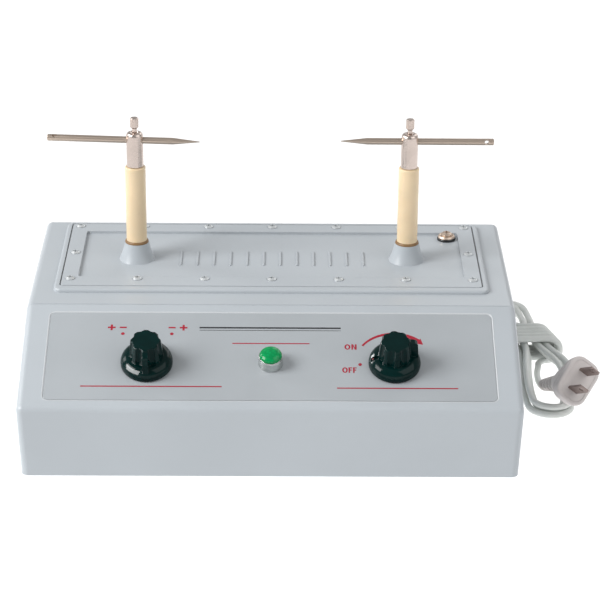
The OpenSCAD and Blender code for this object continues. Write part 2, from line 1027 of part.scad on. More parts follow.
module capacitors() {
    color([0.12, 0.13, 0.3])
        for (c = [[30, -22, 13, 25], [47, -20, 10, 20], [32, -4, 8, 14], [46, -5, 8, 14]])
            translate([c[0], c[1], board_top]) {
                cylinder(d = c[2], h = c[3] - 0.8);
                translate([0, 0, c[3] - 0.8])
                    cylinder(d1 = c[2], d2 = c[2] - 1.2, h = 0.8);
            }
}

module heat_sink() {
    fins = 6;
    color([0.6, 0.61, 0.62])
        translate([-48, -14, board_top]) {
            cube([40, 3, 24]);
            for (i = [0:fins - 1])
                translate([i * 7.5, 2.9, 0])
                    cube([2, 11, 24]);
        }
}

module power_transistor() {
    color([0.12, 0.12, 0.12])
        translate([-33, -15.35, board_top + 4]) {
            cube([10, 1.3, 16]);
            translate([0, -3.2, 0])
                cube([10, 3.3, 9.5]);
            for (x = [1.8, 4.6, 7.4])
                translate([x, -1.6, -4])
                    cube([0.8, 0.5, 4.1]);
        }
}

fuse_y = -40;
fuse_z = board_top + 6;

module fuse() {
    color([0.85, 0.88, 0.9])
        translate([-30, fuse_y, fuse_z])
            rotate([0, 90, 0]) {
                cylinder(d = 4.6, h = 20);
                cylinder(d = 5.1, h = 5);
                translate([0, 0, 15])
                    cylinder(d = 5.1, h = 5);
            }
}

module fuse_clips() {
    color([0.78, 0.76, 0.6])
        for (x = [-29, -14])
            translate([x, fuse_y, board_top])
                difference() {
                    translate([0, -3.6, 0])
                        cube([3, 7.2, 8]);
                    translate([-1, 0, 6])
                        rotate([0, 90, 0])
                            cylinder(d = 5.2, h = 5);
                    translate([-1, -2, 6])
                        cube([5, 4, 4]);
                }
}

// Mains transformer: stacked core with a window on each side of its coil
core_x = 96;
core_y = 0;
core_w = 50;
core_d = 22;
core_h = 42;
limb = 8.5;

module transformer_core() {
    window_w = (core_w - 4 * limb) / 2;
    color([0.35, 0.34, 0.33])
        translate([core_x, core_y, base_top])
            union() {
                difference() {
                    translate([-core_w / 2, -core_d / 2, 0])
                        cube([core_w, core_d, core_h]);
                    for (s = [-1, 1])
                        translate([s * (limb + window_w / 2) - window_w / 2, -core_d / 2 - 1, limb])
                            cube([window_w, core_d + 2, core_h - 2 * limb]);
                }
                for (s = [-1, 1])
                    translate([s * (core_w / 2 + 4) - 6, -core_d / 2, 0])
                        cube([12, core_d, 2]);
            }
}

module transformer_coil() {
    window_w = (core_w - 4 * limb) / 2;
    coil_w = 2 * limb + 2 * window_w - 0.6;
    color([0.75, 0.45, 0.2])
        translate([core_x, core_y, base_top + limb + 0.3])
            difference() {
                translate([-coil_w / 2, -core_d / 2 - 8, 0])
                    cube([coil_w, core_d + 16, core_h - 2 * limb - 0.6]);
                translate([-limb - 0.1, -core_d / 2 - 0.1, -1])
                    cube([2 * limb + 0.2, core_d + 0.2, core_h]);
            }
}

// Step-up coil: iron core, primary and sectioned secondary along X
coil_y = 52;
coil_z = 36;
bracket_x = 50;

module along_coil(x0) {
    translate([x0, coil_y, coil_z])
        rotate([0, 90, 0])
            children();
}

module coil_core() {
    color([0.3, 0.3, 0.3])
        along_coil(-58)
            cylinder(d = 14, h = 116);
}

module coil_primary() {
    color([0.72, 0.42, 0.2])
        along_coil(-48)
            tube(24, 14.2, 96);
}

module coil_secondary() {
    sections = 6;
    section_w = 12;
    color([0.5, 0.16, 0.1])
        along_coil(-sections * section_w / 2)
            difference() {
                union() {
                    cylinder(d = 38, h = sections * section_w);
                    for (i = [0:sections])
                        translate([0, 0, i * section_w - (i == 0 ? 0 : i == sections ? 2 : 1)])
                            cylinder(d = 46, h = 2);
                }
                translate([0, 0, -1])
                    cylinder(d = 24.2, h = sections * section_w + 2);
            }
}

module coil_brackets() {
    color([0.8, 0.8, 0.76])
        for (s = [-1, 1])
            translate([s * bracket_x, coil_y, 0])
                difference() {
                    union() {
                        translate([-1.8, -17, base_top])
                            cube([3.6, 34, coil_z - base_top]);
                        translate([-1.8, 0, coil_z])
                            rotate([0, 90, 0])
                                cylinder(r = 17, h = 3.6);
                        translate([s > 0 ? -1.8 : -10.2, -17, base_top])
                            cube([12, 34, 3]);
                    }
                    translate([-5, 0, coil_z])
                        rotate([0, 90, 0])
                            cylinder(d = 14.2, h = 12);
                }
}

// Insulated lead from the end of the secondary to a post's stud, right side
lead_d = 3.4;
lead_route = [
    [36.1, 52, 52.4], [40, 52, 52.4], [47.5, 51, 55.2], [56, 49.5, 58.4], [64, 47, 59.8],
    [71, 44.5, 59.8], [78.2, 42.4, 59.8]
];

module coil_lead(side) {
    swept_tube([for (p = lead_route) [side * p.x, p.y, p.z]], lead_d / 2, lead_sides);
    translate([side * post_x, post_y, stud_foot + 1.2])
        tube(8, stud_d + 0.1, 3.2);
}

module coil_lead_left() {
    color([0.8, 0.12, 0.1])
        coil_lead(-1);
}

module coil_lead_right() {
    color([0.8, 0.12, 0.1])
        coil_lead(1);
}

earth_route = [
    [107.7, 70.6, 62], [107.7, 65.4, 61], [108, 60, 55], [108, 52, 46], [107, 44, 34],
    [106, 38, 22], [106, 34, 12], [106, 30, 7.4], [106, 24, 6.8], [106, 18, 6.8], [106, 11.2, 6.8]
];

module earth_lead() {
    color([0.2, 0.6, 0.2]) {
        swept_tube(earth_route, 1.2, lead_sides);
        translate([terminal_x, terminal_y, 61])
            tube(8, 4.1, 2);
    }
}

// ---------------------------------------------------------------- mains cord

// Strain relief boot: collar and groove hold it in the wall, ribs let it flex
module cord_gland() {
    boot_r = 5.4;
    tip_r = 3.2;
    ribs = 4;
    color([0.62, 0.62, 0.62])
        translate([gland_x, back_y, gland_z])
            rotate([-90, 0, 0])
                difference() {
                    union() {
                        translate([0, 0, -wall - 3])
                            cylinder(d = 13, h = 2.9);
                        translate([0, 0, -wall - 0.5])
                            cylinder(d = 9, h = wall + 1);
                        translate([0, 0, 0.1])
                            cylinder(d = 13, h = 2);
                        translate([0, 0, 2])
                            cylinder(r1 = boot_r, r2 = tip_r, h = gland_len - 2);
                    }
                    for (i = [0:ribs - 1])
                        translate([0, 0, 6 + i * 4])
                            difference() {
                                cylinder(r = 8, h = 1.4);
                                translate([0, 0, -1])
                                    cylinder(r = boot_r - 0.9 - (6 + i * 4) * 0.1, h = 4);
                            }
                }
}

// The cord's hidden end, from the boot to the mains transformer
inner_route = [
    [100, 94, 14], [100, 88, 14], [100, 78, 13], [99, 66, 12], [97.5, 54, 13], [96.5, 42, 17],
    [96, 32, 22], [96, 26, 25.4], [96, 22, 26], [96, 19, 26]
];

module inner_cord() {
    color([0.5, 0.5, 0.5])
        swept_tube(inner_route, cord_r, lead_sides);
}

lead_start = [gland_x, back_y + gland_len, gland_z];
// Hand-chosen points from the boot down to the table and round towards the hank
cord_route = [
    lead_start, [100, 128, 14], [100, 133, 13.4], [100, 138, 11.6], [100, 143, 8.6],
    [100, 148, 5.2], [100.2, 153, 2.9], [101, 158, 2], [102.8, 163.6, 2], [106, 168.4, 2],
    [110.2, 172, 2], [115.4, 174, 2], [120.6, 174, 2], [125.8, 172, 2], [130, 168.6, 2],
    [133.2, 163.8, 2], [134.9, 158, 2], [135.4, 151, 2], [135.7, 143, 2], [136.5, 134.6, 2]
];

// The hank lies beside the case. In its own frame Y runs from the front fold to
// the back fold and the waist is at the origin.
hank_at = [160.4, 61];
hank_turn = 5.5;
loops = 3;
loop_rings = 24;
// Stations of a run: place along Y, outermost turn at left and right, lift over the wraps
run = [
    [55, -16.6, 9.4, 0], [34, -11.8, 9.2, 1.8], [12, -8, 8, 4.6], [-12, -8, 12.6, 4.6],
    [-30, -11, 20.2, 2.8], [-50, -13.6, 20, 0.4], [-72, -14.6, 14.6, 0]
];
run_rings = len(run) - 1;
fold_rings = 6;
back_fold = [(run[0][1] + run[0][2]) / 2, run[0][0], (run[0][2] - run[0][1]) / 2];
front_fold = [(run[6][1] + run[6][2]) / 2, run[6][0], (run[6][2] - run[6][1]) / 2];
climb_from = 1.47;
climb_to = 1.63;

function in_world(p) = [
    hank_at.x + p.x * cos(hank_turn) - p.y * sin(hank_turn),
    hank_at.y + p.x * sin(hank_turn) + p.y * cos(hank_turn),
    p.z
];
// Spiral: inwards in the lower layer, outwards again in the upper one
function inset(t) = turn_pitch * min(t, loops - t);
function layer(t) = layer_pitch * smooth((t - climb_from) / (climb_to - climb_from));

// Ring i of the loops: left run, front fold, right run, back fold
function hank_point(i) =
    let (
        k = i % loop_rings,
        t = i / loop_rings,
        o = inset(t),
        up = cord_r + layer(t),
        f = k - run_rings,
        b = k - 2 * run_rings - fold_rings
    )
        k < run_rings
            ? [run[k][1] + o, run[k][0], up + run[k][3]]
            : f < fold_rings
                ? fold_point(front_fold, 180 + f * 180 / fold_rings, o, up)
                : b < 0
                    ? [run[-b][2] - o, run[-b][0], up + run[-b][3]]
                    : fold_point(back_fold, b * 180 / fold_rings, o, up);
function fold_point(fold, a, o, up) =
    [fold.x + (fold[2] - o) * cos(a), fold.y + (fold[2] - o) * sin(a), up];

// Wraps: a flat helix round the waist that widens towards the front
wrap_r = 6.9;
wrap_mid_z = cord_r + wrap_r;
wrap_start_y = 11;
wrap_rings = 16;
wrap_last = 72;
wrap_left = -8;
wrap_right = 7.2;
wrap_spread = 0.2;
quarter_r = 8.5;
wrap_top = wrap_mid_z + wrap_r;

// Station i of the flat helix: 16 a turn, starting at the left of the top run
function wrap_point(i) =
    let (
        q = i % wrap_rings,
        y = wrap_start_y - (i - 1) * wrap_pitch / wrap_rings,
        right = wrap_right + wrap_spread * (wrap_start_y - y)
    )
        q < 2
            ? [wrap_left + q * (right - wrap_left) / 2, y, wrap_top]
            : q < 8
                ? let (a = 90 - (q - 2) * 30) [right + wrap_r * cos(a), y, wrap_mid_z + wrap_r * sin(a)]
                : q < 10
                    ? [right - (q - 8) * (right - wrap_left) / 2, y, cord_r]
                    : let (a = 270 - (q - 10) * 30)
                        [wrap_left + wrap_r * cos(a), y, wrap_mid_z + wrap_r * sin(a)];
last_wrap = wrap_point(wrap_last);

// The plug leans on the front fold: its axis, and where the cord enters it
plug_turn = -70.7;
plug_rise = 27.7;
plug_roll = -43.3;
plug_face = [180, -32.7, 29.2];
plug_len = 51;
plug_axis = [
    cos(plug_rise) * cos(plug_turn), cos(plug_rise) * sin(plug_turn), sin(plug_rise)
];
plug_entry = plug_face - plug_len * plug_axis;

hank_path = concat(
    [in_world([run[0][1], run[0][0] + cord_d, cord_r])],
    [for (i = [0:loops * loop_rings]) in_world(hank_point(i))],
    // Up from the last turn and round onto the top of the waist
    [for (p = [[-14.5, 45, 8], [-12.2, 35, 11.5], [-10.2, 26.5, 14.8]]) in_world(p)],
    [for (a = [180:22.5:270]) in_world([
        quarter_r * cos(a), wrap_start_y + quarter_r + quarter_r * sin(a), wrap_top])],
    [for (i = [2:wrap_last]) in_world(wrap_point(i))],
    // Out from below the waist and along the table to the plug
    [for (a = [112.5:22.5:180]) in_world([
        last_wrap.x + quarter_r * cos(a), last_wrap.y - quarter_r + quarter_r * sin(a), cord_r])],
    [for (p = [[0.2, -29, 2], [-0.8, -38, 2], [-0.9, -43.5, 2.3]]) in_world(p)],
    [plug_entry - cord_d * plug_axis, plug_entry]
);

lead_path = concat(
    [for (p = cord_route) p],
    [in_world([run[0][1], run[0][0] + 3 * cord_d, cord_r]), hank_path[0]]
);

module mains_cord() {
    color([0.72, 0.73, 0.72])
        swept_tube(lead_path, cord_r, lead_sides);
}

module cord_hank() {
    color([0.72, 0.73, 0.72])
        swept_tube(hank_path, cord_r, hank_sides);
}

// Least gap between stretches of the hank that lie at least three diameters apart
function to_segment(p, a, b) =
    let (d = b - a, t = min(max((p - a) * d / (d * d), 0), 1)) norm(p - a - t * d);
along = [for (i = 0, s = 0; i < len(hank_path); i = i + 1,
    s = s + (i < len(hank_path) ? norm(hank_path[i] - hank_path[i - 1]) : 0)) s];
least_gap = min([
    for (i = [0:len(hank_path) - 1], j = [0:len(hank_path) - 2])
        if (min(abs(along[i] - along[j]), abs(along[i] - along[j + 1])) > 3 * cord_d)
            to_segment(hank_path[i], hank_path[j], hank_path[j + 1])
]) - cord_d;
echo(hank_least_gap = least_gap, hank_length = path_len(hank_path), lead_length = path_len(lead_path));

// ---------------------------------------------------------------- plug

face_l = 28.4;
face_w = 20;

// Places children with X along the plug's axis and the face at X = 0
module in_plug() {
    translate(plug_face)
        rotate([plug_roll, -plug_rise, plug_turn])
            children();
}

// Rounded cross section of the plug's body
module plug_section(x, l, w, r) {
    translate([x, 0, 0])
        rotate([90, 0, 90])
            linear_extrude(height = 0.1)
                union() {
                    square([w - 2 * r, l], center = true);
                    square([w, l - 2 * r], center = true);
                    for (u = [-1, 1], v = [-1, 1])
                        translate([u * (w / 2 - r), v * (l / 2 - r)])
                            circle(r = r, $fn = 32);
                }
}

module plug_body() {
    relief_ribs = 4;
    color([0.7, 0.67, 0.67])
        in_plug()
            difference() {
                union() {
                    hull() {
                        plug_section(-0.9, face_l - 1.2, face_w - 1.2, 6.4);
                        plug_section(-2, face_l, face_w, 7);
                        plug_section(-7, face_l - 0.6, face_w - 0.6, 7);
                    }
                    hull() {
                        plug_section(-7, face_l - 0.6, face_w - 0.6, 7);
                        plug_section(-15, 21, 16.6, 7);
                        plug_section(-25, 12.6, 12.2, 6);
                    }
                    translate([-plug_len, 0, 0])
                        rotate([0, 90, 0])
                            cylinder(r1 = 3.6, r2 = 5.6, h = plug_len - 24.5);
                }
                for (i = [0:relief_ribs - 1])
                    translate([-plug_len + 5 + i * 5, 0, 0])
                        rotate([0, 90, 0])
                            difference() {
                                cylinder(r = 9, h = 1.6);
                                translate([0, 0, -1])
                                    cylinder(r = 2.9 + i * 0.35, h = 4);
                            }
                for (s = [-1, 1])
                    translate([-10, -3.25, s * 6.35 - 0.85])
                        cube([12, 6.5, 1.7]);
            }
}

module plug_blades() {
    blade_len = 17;
    color([0.7, 0.68, 0.65])
        in_plug()
            for (s = [-1, 1])
                difference() {
                    translate([-9.8, -3.15, s * 6.35 - 0.75])
                        cube([9.8 + blade_len - 1.5, 6.3, 1.5]);
                    translate([blade_len - 5, 0, s * 6.35 - 3])
                        cylinder(d = 3, h = 6);
                }
    color([0.7, 0.68, 0.65])
        in_plug()
            for (s = [-1, 1])
                translate([blade_len - 1.6, 0, s * 6.35])
                    hull() {
                        translate([0, -3.15, -0.75])
                            cube([0.1, 6.3, 1.5]);
                        translate([1.5, -2.4, -0.4])
                            cube([0.1, 4.8, 0.8]);
                    }
}

// ---------------------------------------------------------------- nodes

case_shell();
base_plate();
base_screws();
rubber_feet();
top_cover();
cover_screws();
panel_plate();
insulator_left();
insulator_right();
seal_rings();
post_left();
post_right();
post_nuts();
needle_left();
needle_right();
clamp_screw_left();
clamp_screw_right();
terminal_base();
terminal_washer();
terminal_screw();
terminal_nut();
knob_left();
knob_left_screw();
switch_shaft();
polarity_switch();
switch_nut();
knob_right();
knob_right_screw();
control_shaft();
level_control();
control_nut();
lamp_bezel();
lamp_lens();
lamp_holder();
lamp_nut();
circuit_board();
board_pillars();
capacitors();
heat_sink();
power_transistor();
fuse();
fuse_clips();
transformer_core();
transformer_coil();
coil_core();
coil_primary();
coil_secondary();
coil_brackets();
coil_lead_left();
coil_lead_right();
earth_lead();
inner_cord();
cord_gland();
mains_cord();
cord_hank();
plug_body();
plug_blades();
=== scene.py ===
"""Looks of the classroom induction coil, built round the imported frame.

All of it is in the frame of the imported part: X to the right, Y to the back, Z up, with the
origin on the table below the middle of the case. Finishes and the studio are in metres, and a
number times MM is a size in millimetres. The classes of the lead, the plug, the panel with its
print and marks, and the cover hold plain millimetres, and their point methods give metres.
"""

from __future__ import annotations

import logging
import math
from dataclasses import dataclass, field, replace
from enum import Enum
from typing import Callable, Iterable, Sequence

import bmesh
import bpy
from mathutils import Matrix, Vector


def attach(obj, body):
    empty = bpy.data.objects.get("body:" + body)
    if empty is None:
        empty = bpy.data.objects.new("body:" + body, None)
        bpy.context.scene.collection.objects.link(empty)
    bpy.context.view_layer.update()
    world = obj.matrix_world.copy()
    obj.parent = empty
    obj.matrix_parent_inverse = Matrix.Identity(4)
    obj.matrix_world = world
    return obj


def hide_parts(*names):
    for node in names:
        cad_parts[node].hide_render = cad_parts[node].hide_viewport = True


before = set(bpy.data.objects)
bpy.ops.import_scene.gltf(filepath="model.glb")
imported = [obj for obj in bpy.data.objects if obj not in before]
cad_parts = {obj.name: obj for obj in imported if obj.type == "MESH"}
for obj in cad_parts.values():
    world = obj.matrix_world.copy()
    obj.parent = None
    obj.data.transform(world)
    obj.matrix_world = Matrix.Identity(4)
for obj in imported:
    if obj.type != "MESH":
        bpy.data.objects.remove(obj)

MM = 0.001
Colour = tuple[float, float, float, float]
Pair = tuple[float, float]
Triple = tuple[float, float, float]
Rows = tuple[tuple[float, ...], ...]
Ring = Sequence[Sequence[float]]
Value = "Wire | float | tuple[float, ...]"
Sockets = "dict[str | int, Value]"
Settings = dict[str, object]
log = logging.getLogger("induction_coil")


class Body(Enum):
    """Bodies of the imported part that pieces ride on."""

    HOUSING = "housing"
    KNOB_LEFT = "knob_left"
    KNOB_RIGHT = "knob_right"


def tint(red: float, green: float, blue: float) -> Colour:
    """Turns screen red, green and blue, from 0 to 255, into a linear colour for a shader."""
    shares = (red / 255, green / 255, blue / 255)
    linear = [c / 12.92 if c <= 0.0404 else ((c + 0.055) / 1.055) ** 2.4 for c in shares]
    return (linear[0], linear[1], linear[2], 1.0)


def shaded(colour: Colour, factor: float) -> Colour:
    """Multiplies a linear colour by a factor."""
    return (colour[0] * factor, colour[1] * factor, colour[2] * factor, 1.0)


def linked(name: str, data: bpy.types.ID) -> bpy.types.Object:
    """Makes an object that has this data and links it to the scene."""
    made = bpy.data.objects.new(name, data)
    bpy.context.scene.collection.objects.link(made)
    return made


# ---------------------------------------------------------------- shader maths


class Wire:
    """An output socket that joins others through Python arithmetic."""

    def __init__(self, sheet: "NodeSheet", socket: bpy.types.NodeSocket) -> None:
        """Keeps the sheet that new nodes go on and the output socket that the wire stands for."""
        self.sheet = sheet
        self.socket = socket

    def _math(self, operation: str, first: Value, second: Value = 0.0) -> "Wire":
        """Adds a Math node of two values or wires."""
        return self.sheet.add("ShaderNodeMath", {"operation": operation}, {0: first, 1: second})

    def __add__(self, other: Value) -> "Wire":
        """Returns this value plus the other."""
        return self._math("ADD", self, other)

    __radd__ = __add__

    def __mul__(self, other: Value) -> "Wire":
        """Returns this value times the other."""
        return self._math("MULTIPLY", self, other)

    __rmul__ = __mul__

    def __sub__(self, other: Value) -> "Wire":
        """Returns this value less the other."""
        return self._math("SUBTRACT", self, other)

    def __rsub__(self, other: Value) -> "Wire":
        """Returns the other less this value."""
        return self._math("SUBTRACT", other, self)

    def wave(self) -> "Wire":
        """Returns the sine of this value."""
        return self._math("SINE", self)

    def step(self, low: float, high: float) -> "Wire":
        """Turns a range of the value into a smooth step.

        Args:
            low: value at which the step starts.
            high: value at which it has reached 1.

        Returns:
            The wire of the step, from 0 to 1.
        """
        limits = {"Value": self, "From Min": low, "From Max": high}
        return self.sheet.add("ShaderNodeMapRange", {"interpolation_type": "SMOOTHSTEP"}, limits)


class NodeSheet:
    """The node tree of a material or of the world, with a shader ready to take its inputs."""

    def __init__(
        self, owner: bpy.types.Material | bpy.types.World, shader: str, output: str
    ) -> None:
        """Empties the tree and adds the shader and its output.

        Args:
            owner: material or world that has the tree.
            shader: type of the shader node.
            output: type of the output node.
        """
        owner.use_nodes = True
        self.tree = owner.node_tree
        self.tree.nodes.clear()
        self.shader = self.tree.nodes.new(shader)
        self.output = self.tree.nodes.new(output)
        self.tree.links.new(self.shader.outputs[0], self.output.inputs[0])

    def feed(self, node: bpy.types.Node, sockets: Sockets) -> None:
        """Sets or links the inputs of a node.

        Args:
            node: node that takes the values.
            sockets: value or wire for each input, by name or place.
        """
        for key, value in sockets.items():
            if isinstance(value, Wire):
                self.tree.links.new(value.socket, node.inputs[key])
            else:
                node.inputs[key].default_value = value

    def add(self, kind: str, settings: Settings, sockets: Sockets, out: str | int = 0) -> Wire:
        """Adds one node.

        Args:
            kind: the node's type.
            settings: its properties; "stops" holds a ramp's places and colours.
            sockets: value or wire for each input, by name or place.
            out: name or place of the output wanted.

        Returns:
            The wire of that output.
        """
        node = self.tree.nodes.new(kind)
        for key, value in settings.items():
            if key == "stops":
                ramp = node.color_ramp
                while len(ramp.elements) < len(value):
                    ramp.elements.new(0.5)
                for element, (place, colour) in zip(ramp.elements, value):
                    element.position = place
                    element.color = colour
            else:
                setattr(node, key, value)
        self.feed(node, sockets)
        return Wire(self, node.outputs[out])

    def surface(self, **sockets: Value) -> None:
        """Feeds the sheet's shader, with _ in a name for each space."""
        self.feed(self.shader, {name.replace("_", " "): value for name, value in sockets.items()})

    def place(self, scale: Triple = (1.0, 1.0, 1.0)) -> Wire:
        """Gives the place on the object in metres, times a factor along each axis."""
        where = self.add("ShaderNodeTexCoord", {}, {}, "Object")
        return self.add("ShaderNodeVectorMath", {"operation": "MULTIPLY"}, {0: where, 1: scale})

    def along(self, axis: str) -> Wire:
        """Gives the X, Y or Z of the place on the object, in metres."""
        return self.add("ShaderNodeSeparateXYZ", {}, {"Vector": self.place()}, axis)

    def noise(self, place: Wire, scale: float, detail: float = 3.0, rough: float = 0.55) -> Wire:
        """Adds cloudy noise.

        Args:
            place: where the noise is looked up.
            scale: cells to a metre of place.
            detail: octaves.
            rough: share of the fine octaves.

        Returns:
            The wire of the noise, from 0 to 1.
        """
        sockets = {"Vector": place, "Scale": scale, "Detail": detail, "Roughness": rough}
        return self.add("ShaderNodeTexNoise", {}, sockets)

    def blend(self, factor: Value, first: Value, second: Value) -> Wire:
        """Mixes two colours or wires by the share of the second."""
        return self.add("ShaderNodeMix", {"data_type": "RGBA"}, {0: factor, 6: first, 7: second}, 2)

    def edges(self, radius: float) -> tuple[Wire, Wire]:
        """Finds the edges of the object.

        Args:
            radius: radius that the edges are rounded to, in metres.

        Returns:
            The rounded normal, and a mask that is 1 on sharp edges.
        """
        soft = self.add("ShaderNodeBevel", {"samples": 6}, {"Radius": radius})
        hard = self.add("ShaderNodeNewGeometry", {}, {}, "Normal")
        dot = {"operation": "DOT_PRODUCT"}
        facing = self.add("ShaderNodeVectorMath", dot, {0: soft, 1: hard}, "Value")
        return soft, (1 - facing).step(0.01, 0.16)

    def bump(self, height: Wire, depth: float, normal: Wire | None = None) -> Wire:
        """Turns a height into a normal.

        Args:
            height: height from 0 to 1.
            depth: height of 1, in metres.
            normal: normal that the bumps stand on.

        Returns:
            The wire of the new normal.
        """
        sockets: Sockets = {"Height": height, "Distance": depth, "Strength": 1.0}
        if normal is not None:
            sockets["Normal"] = normal
        return self.add("ShaderNodeBump", {}, sockets)


# ---------------------------------------------------------------- finishes


@dataclass(frozen=True)
class Finish:
    """A surface finish with its own name and colour."""

    name: str
    colour: Colour
    roughness: float = 0.5

    def paint(self, sheet: NodeSheet) -> None:
        """Builds the shader on the sheet; each kind of finish has its own."""
        raise NotImplementedError

    def material(self) -> bpy.types.Material:
        """Makes the material once and keeps it.

        Returns:
            The material of this finish.
        """
        made = bpy.data.materials.get("finish_" + self.name)
        if made is None:
            made = bpy.data.materials.new("finish_" + self.name)
            self.paint(NodeSheet(made, "ShaderNodeBsdfPrincipled", "ShaderNodeOutputMaterial"))
        return made

    def dress(self, obj: bpy.types.Object) -> None:
        """Gives the finish to every material slot of an object.

        Args:
            obj: object to dress.
        """
        if not obj.material_slots:
            obj.data.materials.append(self.material())
        for slot in obj.material_slots:
            slot.material = self.material()


@dataclass(frozen=True)
class Moulded(Finish):
    """Moulded or painted plastic: cloudy tone, fine grain, and edges painted lighter, partly as
    wear and partly as a painted highlight.
    """

    mottle: float = 0.04
    mottle_scale: float = 9.0
    grain_scale: float = 1400.0
    grain_depth: float = 0.012 * MM
    edge_radius: float = 0.35 * MM
    # How much lighter the edges are painted, partly as wear and partly as a painted highlight.
    edge_wear_and_highlight: float = 1.12
    sheen: float = 0.5
    glow: float = 0.0
    rub_scale: float = 160.0
    rub_and_highlight_share: float = 0.7

    def tone(self, sheet: NodeSheet, cloud: Wire) -> Wire:
        """Gives the clouded colour, from noise between 0 and 1."""
        dark, pale = shaded(self.colour, 1 - self.mottle), shaded(self.colour, 1 + self.mottle)
        return sheet.blend(cloud.step(0.3, 0.7), dark, pale)

    def paint(self, sheet: NodeSheet) -> None:
        """Builds the plastic.

        Args:
            sheet: sheet that takes the nodes.
        """
        place = sheet.place()
        cloud = sheet.noise(place, self.mottle_scale, 4.0)
        grain = sheet.noise(place, self.grain_scale, 2.0)
        soft, rim = sheet.edges(self.edge_radius)
        tone = self.tone(sheet, cloud)
        # Lighter patches on sharp edges: partly wear, partly a painted highlight, strongest on the
        # black knobs.
        rubbed_and_highlit = rim * sheet.noise(place, self.rub_scale, 3.0).step(0.35, 0.65)
        worn_and_highlit = shaded(self.colour, self.edge_wear_and_highlight)
        sheet.surface(
            Base_Color=sheet.blend(rubbed_and_highlit * self.rub_and_highlight_share, tone, worn_and_highlit),
            Roughness=self.roughness + (cloud - 0.5) * 0.14 + (grain - 0.5) * 0.1 - rubbed_and_highlit * 0.08,
            Normal=sheet.bump(grain, self.grain_depth, soft),
            Specular_IOR_Level=self.sheen,
            Subsurface_Weight=self.glow,
            Subsurface_Radius=(0.6, 0.35, 0.18),
            Subsurface_Scale=1.5 * MM,
        )


@dataclass(frozen=True)
class Seal(Moulded):
    """Rubber rings of two colours, one low and one high on the object."""

    upper: Colour = (0.5, 0.4, 0.25, 1.0)
    change: float = 100 * MM

    def tone(self, sheet: NodeSheet, cloud: Wire) -> Wire:
        """Gives the colour of the lower rings and of the upper ones."""
        height = sheet.along("Z").step(self.change - MM, self.change + MM)
        lower = sheet.blend(cloud, self.colour, shaded(self.colour, 1.1))
        return sheet.blend(height, lower, self.upper)


@dataclass(frozen=True)
class Turned(Finish):
    """Turned or plated metal with tool marks across one direction and a cloudy tarnish."""

    marks: Triple = (1.0, 1.0, 30.0)
    mark_scale: float = 220.0
    mark_depth: float = 0.006 * MM
    tarnish: Colour = (0.2, 0.17, 0.14, 1.0)
    tarnish_share: float = 0.25
    edge_radius: float = 0.15 * MM
    metal: float = 1.0
    stain_scale: float = 95.0

    def paint(self, sheet: NodeSheet) -> None:
        """Builds the metal.

        Args:
            sheet: sheet that takes the nodes.
        """
        place = sheet.place()
        marks = sheet.noise(sheet.place(self.marks), self.mark_scale, 3.0, 0.7)
        stain = sheet.noise(place, self.stain_scale, 5.0, 0.6).step(0.42, 0.78)
        soft, rim = sheet.edges(self.edge_radius)
        dull = stain * self.tarnish_share * (1 - rim)
        sheet.surface(
            Base_Color=sheet.blend(dull, self.colour, self.tarnish),
            Metallic=self.metal,
            Roughness=self.roughness + (marks - 0.5) * 0.16 + stain * 0.1,
            Normal=sheet.bump(marks, self.mark_depth, soft),
        )


@dataclass(frozen=True)
class Lens(Finish):
    """Clear tinted moulding with faint prisms inside, and an optional faint painted glow in its own
    colour.
    """

    clear: float = 0.5
    # Strength of the painted glow in the lens's own colour.
    lit: float = 0.0
    prism_scale: float = 620.0
    prism_depth: float = 0.02 * MM

    def paint(self, sheet: NodeSheet) -> None:
        """Builds the tinted plastic.

        Args:
            sheet: sheet that takes the nodes.
        """
        place = sheet.place()
        cells = {"Vector": place, "Scale": self.prism_scale}
        prisms = sheet.add("ShaderNodeTexVoronoi", {"feature": "F1"}, cells)
        cloud = sheet.noise(place, 260.0, 2.0)
        pale, deep = shaded(self.colour, 1.12), shaded(self.colour, 0.86)
        tone = sheet.blend(prisms.step(0.1, 0.7), pale, deep)
        sheet.surface(
            Base_Color=tone,
            # The emission is a painted glow that lightens the lens, not a lamp.
            Emission_Color=tone,
            Emission_Strength=self.lit,
            Roughness=self.roughness + (cloud - 0.5) * 0.05,
            Normal=sheet.bump(prisms, self.prism_depth),
            Transmission_Weight=self.clear,
            IOR=1.5,
            Specular_IOR_Level=0.25,
        )


@dataclass(frozen=True)
class Wound(Finish):
    """Layers of wire or laminations that show as fine lines across one axis, with painted shade in
    the grooves and a painted highlight on the crests.
    """

    axis: str = "X"
    pitch: float = 0.5 * MM
    shine: float = 0.0

    def paint(self, sheet: NodeSheet) -> None:
        """Builds the lines.

        Args:
            sheet: sheet that takes the nodes.
        """
        line = (sheet.along(self.axis) * (2 * math.pi / self.pitch)).wave() * 0.5 + 0.5
        cloud = sheet.noise(sheet.place(), 140.0, 3.0)
        # The grooves are painted darker as shade and the crests lighter as a highlight, beside the
        # real bump.
        groove, highlit_crest = shaded(self.colour, 0.45), shaded(self.colour, 1.1)
        sheet.surface(
            Base_Color=sheet.blend(line * 0.7 + cloud * 0.3, groove, highlit_crest),
            Metallic=self.shine,
            Roughness=self.roughness + (cloud - 0.5) * 0.2,
            Normal=sheet.bump(line, 0.2 * self.pitch),
        )


